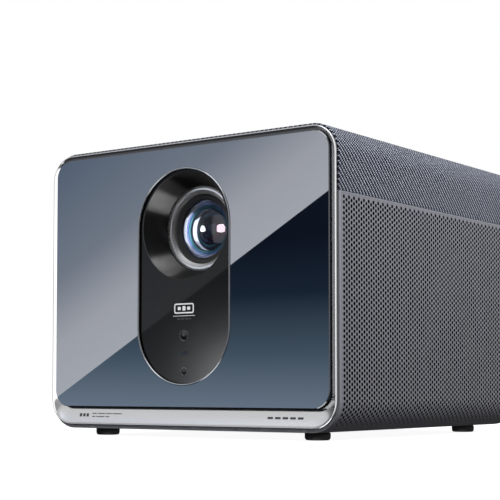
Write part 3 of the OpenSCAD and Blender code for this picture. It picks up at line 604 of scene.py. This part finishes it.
def build_cell():
    y = -109.5
    front = [(20.0, 1.6), (20.25, 1.25), (20.6, 1.15), (20.9, 1.3), (21.0, 0.95), (22.2, 0.8), (22.3, 0.45),
             (23.3, 0.25), (23.6, 0.0), (23.8, 0.1), (23.9, 0.4), (23.9, 3.5), (21.95, 3.5)]
    profile = [(r, y + back) for r, back in front]
    profile += [(21.95, -60.0), (18.5, -60.0), (18.5, y + 9.0), (20.0, y + 9.0)]
    cell = turned("focus_cell_turned", profile, M["dark_satin"], "focus_group", flat_over=25)
    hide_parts("focus_cell")


build_cell()


def dome(name, r, edge_y, radius, mat, thickness=1.2, body="focus_group", steps=24, shell=False):
    """A spherical cap that bulges to the front, with a flat back, or with a parallel one if it is a shell."""
    sag = radius - math.sqrt(radius * radius - r * r)
    profile = []
    for k in range(steps + 1):
        p = r * k / steps
        rise = math.sqrt(radius * radius - p * p) - (radius - sag)
        profile.append((max(p, 0.001), edge_y - rise))
    if shell:
        profile += [(p, y + thickness) for p, y in reversed(profile)]
    else:
        profile += [(r, edge_y + thickness), (0.001, edge_y + thickness)]
    return turned(name, profile, mat, body, n=96, close=False, flat_over=60)


def painted_reflection_reach(i, k):
    """Draws the inner points of the crescent, a painted reflection, out to its rim away from the left."""
    if i < 2:
        return 0.0, 0.0
    narrow = 1 - max(0.0, math.cos(TAU * k / 96 - math.pi)) ** 0.8
    return 2.75 * narrow, -0.95 * narrow


def build_lenses():
    """The front element over stepped, coated rings that get smaller and deeper towards the dark dome."""
    front = dome("front_element", 19.95, -105.9, 30.0, M["lens"], thickness=1.2, shell=True)
    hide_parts("lens_front_element")
    inner = [
        ("coating_pale", 19.4, 17.8, -104.5, 1.2, "coat_pale"),
        ("coating_blue", 17.8, 16.6, -103.3, 0.5, "coat_blue"),
        ("coating_teal", 16.6, 14.9, -102.8, 0.6, "coat_teal"),
        ("step_outer", 14.9, 14.3, -102.2, 0.2, "coat_navy"),
        ("step_middle", 14.3, 11.2, -101.4, 1.2, "coat_navy"),
        ("arc_outer", 11.2, 10.7, -100.2, 0.1, "coat_teal"),
        ("step_inner", 10.7, 8.0, -100.1, 1.8, "coat_navy"),
    ]
    for name, r0, r1, y, drop, mat in inner:
        profile = []
        for k in range(9):
            t = k / 8
            profile.append((r0 + (r1 - r0) * t, y + drop * math.sin(t * math.pi / 2)))
        profile += [(r1, y + drop + 0.5), (r0, y + drop + 0.5)]
        part = turned(name, profile, M[mat], "focus_group", n=96, flat_over=60)
    # A pale metal crescent in the lens is a painted reflection: its shape stands in for a reflected highlight.
    crescent = turned("crescent_middle", [(14.3, -102.0), (14.2, -101.7), (11.5, -101.0), (11.4, -100.9)],
                      M["coat_pale"], "focus_group", n=96, close=False, flat_over=60, ripple=painted_reflection_reach)
    second = dome("second_element", 8.0, -98.3, 8.6, M["coat_navy"], thickness=1.0)
    profile = [(8.05, -98.3), (7.6, -99.9), (7.0, -100.9), (6.3, -101.75), (6.3, -101.4), (7.9, -98.3)]
    rose = turned("coating_rose", profile, M["coat_rose"], "focus_group", n=96, flat_over=60)
    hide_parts("lens_second_element")


build_lenses()

# ---- sensors and prints on the insert ----


def block_outline(x, z, w, h, r):
    """Points [x, z] round a small rounded block."""
    return [(px + x, pz) for px, pz in rounded_outline(w, h, r, z, 4, 2)]


def build_windows():
    proud = INSERT_Y - 0.06
    for name, z, r in (("camera_window", CAMERA_Z, 3.5), ("ir_window", IR_Z, 2.7)):
        profile = [(0.001, proud), (r - 0.5, proud), (r - 0.3, proud + 0.1), (r - 0.3, proud + 1.9),
                   (0.001, proud + 1.9)]
        glass = turned(name + "_glass", profile, M["window"], centre=(0.0, z), n=48, close=False)
        profile = [(r - 0.3, proud + 0.06), (r - 0.2, proud - 0.04), (r, proud - 0.04),
                   (r + 0.05, proud + 0.06), (r + 0.05, proud + 1.5), (r - 0.3, proud + 1.5)]
        ring = turned(name + "_ring", profile, M["faint_print"], centre=(0.0, z), n=48)
        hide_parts(name)
    pane = plate("tof_window_glass", rounded_outline(7.6, 3.8, 0.5, TOF_Z, 4, 2), proud, proud + 1.9,
                 M["faint_print"])
    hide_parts("tof_window")
    for side, x in (("left", -1.8), ("right", 1.8)):
        eye = plate("tof_eye_" + side, block_outline(x, TOF_Z, 2.3, 2.3, 0.6), proud - 0.04, proud + 0.5,
                    M["window"], edge=0.05)


build_windows()


def outline_band(name, outer, inner, y, mat):
    """A thin printed line between two matching outlines."""
    back = y + PRINT_T
    band = loft(name, [(outer, back), (outer, y), (inner, y), (inner, back)], mat, close=True)


def printed_block(name, x, z, w, h, r, mat):
    """A printed block on the face of the insert."""
    y = INSERT_Y - PRINT_T
    block = plate(name, block_outline(x, z, w, h, r), y, y + PRINT_T, mat, edge=0.02)


def build_prints():
    outline_band("screen_mark", rounded_outline(16.6, 6.8, 1.5, MARK_Z, 6, 3),
                 rounded_outline(14.8, 5.0, 0.7, MARK_Z, 6, 3), INSERT_Y - PRINT_T, M["print"])
    for i, (x, h) in enumerate([(-4.0, 2.2), (0.0, 3.0), (4.0, 2.2)]):
        printed_block(f"screen_bar_{i}", x, MARK_Z, 2.6, h, 0.4, M["print"])
    printed_block("mark_rule", 0.0, RULE_Z, 18.5, 0.35, 0.16, M["print"])
    for i, (x, w) in enumerate([(-4.6, 2.6), (-1.2, 3.0), (2.4, 3.0), (5.3, 1.6)]):
        printed_block(f"mark_dash_{i}", x, DASHES_Z, w, 0.9, 0.3, M["grey_print"])


build_prints()


def chin_strip(name, x0, x1, z0, z1, mat):
    """A thin printed bar laid on the cove under the glass."""
    low, high = RIM_MID_Z - RIM_H / 2 + 1.35, GLASS_MID_Z - GLASS_H / 2 + 1.2
    verts, faces = [], []
    for k in range(4):
        z = z0 + (z1 - z0) * k / 3
        y = cove_y((z - low) / (high - low)) - PRINT_T
        verts += [(x0, y, z), (x1, y, z)]
    for k in range(3):
        faces.append((2 * k, 2 * k + 1, 2 * k + 3, 2 * k + 2))
    add_mesh(name, verts, faces, mat)


def build_chin_marks():
    for i in range(3):
        x = CHIN_MARK_X + 3.2 * i
        chin_strip(f"chin_block_{i}", x, x + 2.2, 13.4, 15.6, M["grey_print"])
    rows = [(15.3, 16.0, (4.2, 6.4, 5.0, 8.2)), (13.2, 13.9, (2.8, 7.4, 3.6))]
    for r, (z0, z1, widths) in enumerate(rows):
        x = CHIN_MARK_X + 11.9
        for i, w in enumerate(widths):
            chin_strip(f"chin_dash_{r}_{i}", x, x + w, z0, z1, M["mid_print"])
            x += w + 1.0
    x = CHIN_BARS_X
    for i in range(5):
        chin_strip(f"chin_bar_{i}", x, x + 4.2, 13.7, 15.1, M["grey_print"])
        x += 5.8


build_chin_marks()

# ---- fabric cover ----


def case_path(t, samples=16):
    """[x, z, nx, nz] round the top of the case skin set in by t, from the left seam over to the right one."""
    w, r = BODY_W / 2 - t, BODY_R - t
    cz, cx = BODY_Z1 - BODY_R, BODY_W / 2 - BODY_R
    path = []
    for k in range(12):
        path.append((-w, SEAM_Z + (cz - SEAM_Z) * k / 12, -1.0, 0.0))
    for k in range(samples + 1):
        a = math.pi - math.pi / 2 * k / samples
        path.append((-cx + r * math.cos(a), cz + r * math.sin(a), math.cos(a), math.sin(a)))
    for k in range(1, 30):
        path.append((-cx + 2 * cx * k / 30, BODY_Z1 - t, 0.0, 1.0))
    for k in range(samples + 1):
        a = math.pi / 2 - math.pi / 2 * k / samples
        path.append((cx + r * math.cos(a), cz + r * math.sin(a), math.cos(a), math.sin(a)))
    for k in range(1, 13):
        path.append((w, cz + (SEAM_Z - cz) * k / 12, 1.0, 0.0))
    return path


def build_fabric():
    outer = case_path(0.0)
    length = [0.0]
    for a, b in zip(outer, outer[1:]):
        length.append(length[-1] + math.hypot(b[0] - a[0], b[1] - a[1]))
    tuck = 0.8
    ys = [(SHELL_Y0, FABRIC_T), (SHELL_Y0, tuck), (SHELL_Y0 + 0.25, 0.25), (SHELL_Y0 + 0.9, 0.0)]
    ys += [(SHELL_Y0 + 0.9 + (SHELL_Y1 - SHELL_Y0 - 1.8) * k / 24, 0.0) for k in range(1, 24)]
    ys += [(SHELL_Y1 - 0.9, 0.0), (SHELL_Y1 - 0.25, 0.25), (SHELL_Y1, tuck), (SHELL_Y1, FABRIC_T)]
    verts, uvs, faces = [], [], []
    count, rows = len(ys), len(outer)
    back = rows * count
    for inner_skin in (False, True):
        for i, (x, z, nx, nz) in enumerate(outer):
            dip = 0.3 if i in (0, rows - 1) else 0.0
            for y, depth in ys:
                d = FABRIC_T if inner_skin else min(FABRIC_T, depth + dip)
                verts.append((x - nx * d, y, z - nz * d))
                uvs.append((length[i] * MM, y * MM))
        for i in range(rows - 1):
            for k in range(count - 1):
                a = back * inner_skin + i * count + k
                face = (a, a + 1, a + count + 1, a + count)
                faces.append(face[::-1] if inner_skin else face)
    for k in range(count - 1):
        a, b = k, (rows - 1) * count + k
        faces.append((a + 1, a, back + a, back + a + 1))
        faces.append((b, b + 1, back + b + 1, back + b))
    obj = add_mesh("fabric_sheet", verts, faces, M["fabric"], flat_over=80)
    layer = obj.data.uv_layers.new(name="weave")
    for loop in obj.data.loops:
        layer.data[loop.index].uv = uvs[loop.vertex_index]
    weld(obj)
    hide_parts("fabric_cover")


build_fabric()

# ---- perforated side panels ----


def panel_point(side, s, depth):
    """A point [x, z] of the panel at distance s down from its top edge, depth behind the outer skin."""
    straight = PANEL_TOP - (BODY_Z0 + BODY_R)
    cx, cz = BODY_W / 2 - BODY_R, BODY_Z0 + BODY_R
    r = BODY_R - depth
    if s <= straight:
        return side * (BODY_W / 2 - depth), PANEL_TOP - s
    a = (s - straight) / BODY_R
    return side * (cx + r * math.cos(a)), cz - r * math.sin(a)


def panel_length():
    straight = PANEL_TOP - (BODY_Z0 + BODY_R)
    return straight + BODY_R * math.acos((PANEL_IN_X - (BODY_W / 2 - BODY_R)) / BODY_R)


def hole_grid():
    """How many columns of holes there are, where the first one is along Y, and how many rows."""
    columns = int((PANEL_Y1 - PANEL_Y0 - 1.6) / HOLE_STEP_Y)
    y0 = (PANEL_Y0 + PANEL_Y1) / 2 - (columns - 1) / 2 * HOLE_STEP_Y
    rows = int((panel_length() - 6.0) / HOLE_STEP_S)
    return columns, y0, rows


def build_grille(side, node):
    """A panel with staggered columns of real holes, which shrink to dimples towards its lower edge; the holes'
    walls are near-black as painted shade.
    """
    columns, y0, rows = hole_grid()
    total = panel_length()
    first = 2.4
    index, verts, faces, shaded_hole_walls = {}, [], [], []

    def point(y, s, layer):
        key = (round(y, 3), round(s, 3), layer)
        if key not in index:
            x, z = panel_point(side, s, (0.0, PANEL_T)[layer])
            index[key] = len(verts)
            verts.append((x, y, z))
        return index[key]

    def patch(ya, yb, sa, sb, layer):
        """A flat quad between two places along Y and two distances down."""
        corners = ((ya, sa), (yb, sa), (yb, sb), (ya, sb))
        faces.append(tuple(point(y, s, layer) for y, s in corners))

    half_y, half_s = HOLE_STEP_Y / 2, HOLE_STEP_S / 2
    for c in range(columns):
        y = y0 + c * HOLE_STEP_Y
        shift = half_s * (c % 2)
        for r in range(rows):
            s = first + shift + r * HOLE_STEP_S
            left_over = rows - r
            radius = HOLE_R * min(1.0, 0.35 + 0.2 * left_over)
            ring = [(y - half_y, s - half_s), (y, s - half_s), (y + half_y, s - half_s), (y + half_y, s),
                    (y + half_y, s + half_s), (y, s + half_s), (y - half_y, s + half_s), (y - half_y, s)]
            hole = []
            for k in range(8):
                a = math.radians(-135 + 45 * k)
                hole.append((y + radius * math.cos(a), s + radius * math.sin(a)))
            for k in range(8):
                n = (k + 1) % 8
                faces.append((point(*ring[k], 0), point(*ring[n], 0), point(*hole[n], 0), point(*hole[k], 0)))
                shaded_hole_walls.append(len(faces))
                faces.append((point(*hole[k], 0), point(*hole[n], 0), point(*hole[n], 1), point(*hole[k], 1)))
                faces.append((point(*ring[n], 1), point(*ring[k], 1), point(*hole[k], 1), point(*hole[n], 1)))
    top_s, low_s = first - half_s, first + (rows - 0.5) * HOLE_STEP_S
    low_cuts = [low_s + half_s + (total - low_s - half_s) * k / 6 for k in range(7)]
    for layer in (0, 1):
        for c in range(columns):
            y = y0 + c * HOLE_STEP_Y
            shift = half_s * (c % 2)
            for ya, yb in ((y - half_y, y), (y, y + half_y)):
                start = top_s if shift else low_s
                patch(ya, yb, start, start + half_s, layer)
                patch(ya, yb, 0.0, top_s, layer)
                for a, b in zip(low_cuts, low_cuts[1:]):
                    patch(ya, yb, a, b, layer)
        edge_s = [0.0] + [top_s + k * half_s for k in range(2 * rows + 2)]
        edge_s = [v for v in edge_s if v < low_cuts[0] + 1e-6] + low_cuts[1:]
        for ya, yb in ((PANEL_Y0, y0 - half_y), (y0 + (columns - 0.5) * HOLE_STEP_Y, PANEL_Y1)):
            for a, b in zip(edge_s, edge_s[1:]):
                patch(ya, yb, a, b, layer)
    rim_ys = [PANEL_Y0] + [y0 + (k - 1) * half_y for k in range(2 * columns + 1)] + [PANEL_Y1]
    for s in (0.0, total):
        for a, b in zip(rim_ys, rim_ys[1:]):
            faces.append((point(a, s, 0), point(b, s, 0), point(b, s, 1), point(a, s, 1)))
    for y in (PANEL_Y0, PANEL_Y1):
        for a, b in zip(edge_s, edge_s[1:]):
            faces.append((point(y, a, 0), point(y, b, 0), point(y, b, 1), point(y, a, 1)))
    obj = add_mesh(node + "_perforated", verts, faces, M["grille"], flat_over=40)
    # The hole walls take the near-black dust cloth: painted shade inside the holes.
    obj.data.materials.append(M["mesh"])
    for i in shaded_hole_walls:
        obj.data.polygons[i].material_index = 1
    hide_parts(node)
    return obj


build_grille(1, "right_grille")
build_grille(-1, "left_grille")

# ---- feet ----


def build_feet():
    for name, (x, y) in FOOT_PLACES.items():
        r = 8.4
        profile = [(0.001, 0.5), (3.0, 0.5), (3.3, 0.3), (r - 1.9, 0.0), (r - 1.1, 0.12), (r - 0.5, 0.6),
                   (r - 0.15, 1.3), (r, 2.2), (r, BODY_Z0 - 1.0), (r - 0.25, BODY_Z0 - 0.6),
                   (r - 0.7, BODY_Z0 - 0.4), (r - 0.7, BODY_Z0), (2.48, BODY_Z0), (2.48, BODY_Z0 + 3.5),
                   (0.001, BODY_Z0 + 3.5)]
        verts, faces = [], []
        n = 64
        for k in range(n):
            a = TAU * k / n
            verts += [(x + p * math.cos(a), y + p * math.sin(a), z) for p, z in profile]
        for k in range(n):
            m = (k + 1) % n
            for i in range(len(profile) - 1):
                q = len(profile)
                faces.append((k * q + i, k * q + i + 1, m * q + i + 1, m * q + i))
        foot = add_mesh(name + "_turned", verts, faces, M["rubber"], flat_over=40)
        weld(foot)
        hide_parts(name)


build_feet()

# ---- carried-over CAD nodes ----

# A look, the radius of its edges in millimetres, and the nodes that have them
DRESSED = [
    ("foam", 0.0, ["glass_gasket"]),
    ("shell", 0.25, ["lower_shell"]),
    ("shell", 0.0, ["rear_cover"]),
    ("plastic", 0.0, ["top_shell"]),
    ("plastic", 0.3, ["front_frame"]),
    ("mesh", 0.0, ["left_dust_mesh", "right_dust_mesh"]),
    ("ports", 0.2, ["port_plate"]),
    ("ports", 0.1, ["audio_jack", "power_inlet"]),
    ("button", 0.4, ["power_button"]),
    ("light_pipe", 0.1, ["status_led"]),
    ("steel", 0.1, ["hdmi_ports", "usb_ports", "lan_port"]),
    ("steel", 0.15, ["case_screws"]),
    ("steel", 0.2, ["wheel_motor"]),
    ("steel", 0.3, ["focus_motor", "engine_tray"]),
    ("brass", 0.2, ["tripod_insert"]),
    ("brass", 0.0, ["focus_pinion"]),
    ("gear", 0.0, ["focus_ring_gear"]),
    ("dark_satin", 0.2, ["lens_barrel"]),
    ("cast", 0.6, ["light_engine", "laser_module"]),
    ("copper", 0.3, ["cold_plate"]),
    ("copper", 0.0, ["heat_pipes"]),
    ("fins", 0.1, ["dmd_heatsink"]),
    ("fins", 0.0, ["heatsink_fins"]),
    ("phosphor", 0.1, ["phosphor_wheel"]),
    ("board", 0.0, ["sensor_board"]),
    ("board", 0.1, ["dmd_board", "main_board"]),
    ("board", 0.3, ["power_board"]),
    ("fan", 0.2, ["fan_left_rotor", "fan_right_rotor"]),
    ("fan", 0.4, ["fan_left_frame", "fan_right_frame"]),
    ("fan", 0.6, ["speaker_left", "speaker_right"]),
    ("paper", 0.0, ["speaker_left_cone", "speaker_right_cone"]),
]
for look, edge, names in DRESSED:
    for name in names:
        dress(name, look, edge)

# ---- stage: camera, cards, floor and lights; cards and lamps are in metres ----

CAMERA = Vector((568.95, -847.26, 34.44)) * MM
AZIMUTH, PITCH = math.radians(35.645), math.radians(3.0)

# The card that the glass mirrors: its slanting edge, and the tones above and below it
EDGE_RISE, EDGE_START = 0.746, 0.032
UPPER = [(0.0, (0.078, 0.108, 0.156)), (0.3, (0.155, 0.18, 0.224)), (0.47, (0.325, 0.34, 0.38)),
         (0.65, (0.365, 0.385, 0.425)), (1.0, (0.45, 0.47, 0.51))]
LOWER = [(0.0, (0.125, 0.165, 0.22)), (0.2, (0.048, 0.075, 0.105)), (0.42, (0.006, 0.012, 0.024)),
         (0.62, (0.001, 0.002, 0.006))]


def build_camera():
    data = bpy.data.cameras.new("camera")
    data.lens = 98.7
    data.sensor_width = 36.0
    data.shift_y = 0.1293
    data.clip_start = 0.05
    data.clip_end = 50.0
    cam = add_object("camera", data)
    cam.location = CAMERA
    cam.rotation_euler = (math.pi / 2 + PITCH, 0.0, AZIMUTH)
    bpy.context.scene.camera = cam


def emission(name, strength, ramp=None):
    """An emissive card material; ramp builds the colour from the card's map."""
    mat = bpy.data.materials.new(name)
    mat.use_nodes = True
    tree = mat.node_tree
    tree.nodes.clear()
    out = tree.nodes.new("ShaderNodeOutputMaterial")
    glow = tree.nodes.new("ShaderNodeEmission")
    glow.inputs["Strength"].default_value = strength
    tree.links.new(glow.outputs["Emission"], out.inputs["Surface"])
    if ramp:
        tree.links.new(ramp(tree), glow.inputs["Color"])
    return mat


def stage_card(name, corners, mat, only_glossy=True):
    mesh = bpy.data.meshes.new(name)
    mesh.from_pydata([Vector(c) for c in corners], [], [(0, 1, 2, 3)])
    layer = mesh.uv_layers.new(name="card")
    for loop, uv in zip(mesh.loops, ((0, 0), (1, 0), (1, 1), (0, 1))):
        layer.data[loop.index].uv = uv
    mesh.materials.append(mat)
    obj = add_object(name, mesh)
    if only_glossy:
        obj.visible_camera = False
        obj.visible_diffuse = False
        obj.visible_shadow = False
        obj.visible_transmission = False
    return obj


def only_lights(source, receivers):
    """Keeps a lamp's or card's light to the named pieces."""
    group = bpy.data.collections.new(source.name + "_receivers")
    for receiver in receivers:
        group.objects.link(bpy.data.objects[receiver])
    source.light_linking.receiver_collection = group


def mirrored(x, z, distance):
    """Where the ray from the camera that the glass mirrors at [x, z] goes, this far in front of the glass."""
    seen = Vector((x, GLASS_Y, z)) * MM
    source = Vector((CAMERA.x, 2 * GLASS_Y * MM - CAMERA.y, CAMERA.z))
    way = seen - source
    return seen + way * (distance / -way.y)


def glass_reflection(tree):
    """Two tones parted by a straight edge that rises to the right, each with its own gradient."""
    parts = separated(tree, map_point(tree, "card"))
    u, v = parts["X"], parts["Y"]
    edge = math_node(tree, "MULTIPLY_ADD", u, EDGE_RISE, EDGE_START)
    above = math_node(tree, "SUBTRACT", v, edge)
    high = math_node(tree, "MULTIPLY_ADD", u, 0.45, math_node(tree, "MULTIPLY_ADD", v, -0.62, 0.62))
    upper = color_ramp(tree, high, *UPPER)
    lower = color_ramp(tree, v, *LOWER)
    mask = math_node(tree, "GREATER_THAN", above, 0.0)
    mix = tree.nodes.new("ShaderNodeMix")
    mix.data_type = "RGBA"
    tree.links.new(mask, mix.inputs["Factor"])
    tree.links.new(lower, mix.inputs["A"])
    tree.links.new(upper, mix.inputs["B"])
    return mix.outputs["Result"]


def build_cards():
    reach = 2.5
    half_w, z0, z1 = GLASS_W / 2, GLASS_MID_Z - GLASS_H / 2, GLASS_MID_Z + GLASS_H / 2
    corners = [mirrored(-half_w, z0, reach), mirrored(half_w, z0, reach), mirrored(half_w, z1, reach),
               mirrored(-half_w, z1, reach)]
    stage_card("glass_card", corners, emission("glass_card", 5.2, glass_reflection))
    depth = GLASS_Y * MM - reach - 0.15
    stage_card("white_wall", [(-3.6, depth, 0.0), (-1.1, depth, 0.0), (-1.1, depth, 2.4), (-3.6, depth, 2.4)],
               emission("white_wall", 0.68))
    corners = [(0.0, -1.7, -0.8), (1.3, -1.0, -0.8), (1.3, -1.0, 1.4), (0.0, -1.7, 1.4)]
    side_card = stage_card("white_side", corners, emission("white_side", 1.5))
    side_card.visible_transmission = True
    only_lights(side_card, ("bezel", "front_element", "focus_cell_turned", "insert_crest"))
    stage_card("high_card", [(-0.3, -1.3, 1.5), (0.9, -1.3, 1.5), (0.9, -0.1, 1.7), (-0.3, -0.1, 1.7)],
               emission("high_card", 2.6))
    stage_card("low_card", [(-0.3, -1.3, -1.2), (0.9, -1.3, -1.2), (0.9, -0.1, -1.4), (-0.3, -0.1, -1.4)],
               emission("low_card", 2.6))
    floor_mat = new_material("studio_floor", (0.86, 0.86, 0.87), 0.6, scale=3.0, bump=0.0, vary=0.01,
                             Emission_Strength=0.92)
    floor_mat.node_tree.nodes["Principled BSDF"].inputs["Emission Color"].default_value = (1, 1, 1, 1)
    corners = [(-9, -9, 0), (9, -9, 0), (9, 9, 0), (-9, 9, 0)]
    floor = stage_card("floor", corners, floor_mat, only_glossy=False)
    floor.visible_glossy = False
    floor.visible_diffuse = False
    floor.visible_transmission = False
    floor.visible_shadow = False


def area(name, place, look_at, size, power, color=(1, 1, 1), size_y=None, glossy=True):
    """A rectangular lamp that points at look_at."""
    data = bpy.data.lights.new(name, "AREA")
    data.energy = power
    data.color = color
    data.shape = "RECTANGLE"
    data.size = size
    data.size_y = size_y or size
    lamp = add_object(name, data)
    lamp.location = place
    lamp.rotation_euler = (Vector(look_at) - Vector(place)).to_track_quat("-Z", "Y").to_euler()
    lamp.visible_glossy = glossy
    lamp.visible_transmission = False
    return lamp


def gleam(name, place, size, power, receivers, color=(1, 1, 1)):
    """A round soft light that only shows as a reflection in the named pieces."""
    lamp = area(name, place, (0, -0.12, 0.142), size, power, color)
    lamp.data.shape = "DISK"
    lamp.visible_diffuse = False
    only_lights(lamp, receivers)


def build_lights():
    area("key", (0.2, -0.1, 1.6), (0, 0, 0.1), 0.9, 5.5, (0.97, 0.98, 1.0), glossy=False)
    area("side", (0.45, 0.05, 0.42), (0.12, 0.05, 0.16), 0.9, 2.3, (0.95, 0.97, 1.0), size_y=0.12,
         glossy=False)
    area("fill", (-0.9, -1.3, 1.0), (0, 0, 0.1), 0.8, 8.0, (1.0, 0.99, 0.97), glossy=False)
    gleam("lens_spot", (-0.38, -0.92, 0.2), 0.25, 10.0, ("front_element",))
    gleam("lens_glow", (0.5, -1.15, 0.22), 0.5, 36.0, ("front_element",), (1.0, 0.84, 0.92))
    gleam("cone_high", (0.12, -0.55, 1.6), 1.3, 90.0, ("insert_cone",))
    gleam("cone_low", (0.85, -0.7, -0.93), 1.1, 66.0, ("insert_cone",))
    gleam("face_sheen", mirrored(56.0, 34.0, 0.8), 0.08, 3.0,
          ("insert_face", "camera_window_ring", "ir_window_ring"))
    marks = area("mark_light", (0.3, -1.3, 0.5), (0, -0.13, 0.08), 0.5, 9.0, glossy=False)
    only_lights(marks, ("screen_mark", "screen_bar_0", "screen_bar_1", "screen_bar_2", "mark_rule"))


def build_world():
    """A white backdrop for the camera, and a dim studio for other rays, brighter above and to the right."""
    world = bpy.data.worlds.new("studio")
    bpy.context.scene.world = world
    world.use_nodes = True
    tree = world.node_tree
    tree.nodes.clear()
    out = tree.nodes.new("ShaderNodeOutputWorld")
    plain = tree.nodes.new("ShaderNodeBackground")
    plain.inputs["Color"].default_value = (1, 1, 1, 1)
    plain.inputs["Strength"].default_value = 1.0
    studio = tree.nodes.new("ShaderNodeBackground")
    way = separated(tree, tree.nodes.new("ShaderNodeTexCoord").outputs["Generated"])
    tilt = math_node(tree, "MULTIPLY_ADD", way["X"], 0.25, 0.5)
    tilt = math_node(tree, "MULTIPLY_ADD", way["Z"], 0.5, tilt)
    color = color_ramp(tree, tilt, (0.25, (0.05, 0.05, 0.052)), (0.8, (1.0, 1.0, 1.03)))
    tree.links.new(color, studio.inputs["Color"])
    rays = tree.nodes.new("ShaderNodeLightPath")
    power = math_node(tree, "MULTIPLY_ADD", rays.outputs["Is Diffuse Ray"], -0.41, 0.55)
    tree.links.new(power, studio.inputs["Strength"])
    mix = tree.nodes.new("ShaderNodeMixShader")
    tree.links.new(rays.outputs["Is Camera Ray"], mix.inputs["Fac"])
    tree.links.new(studio.outputs["Background"], mix.inputs[1])
    tree.links.new(plain.outputs["Background"], mix.inputs[2])
    tree.links.new(mix.outputs["Shader"], out.inputs["Surface"])
    bpy.context.scene.view_settings.view_transform = "Standard"


build_camera()
build_cards()
build_lights()
build_world()
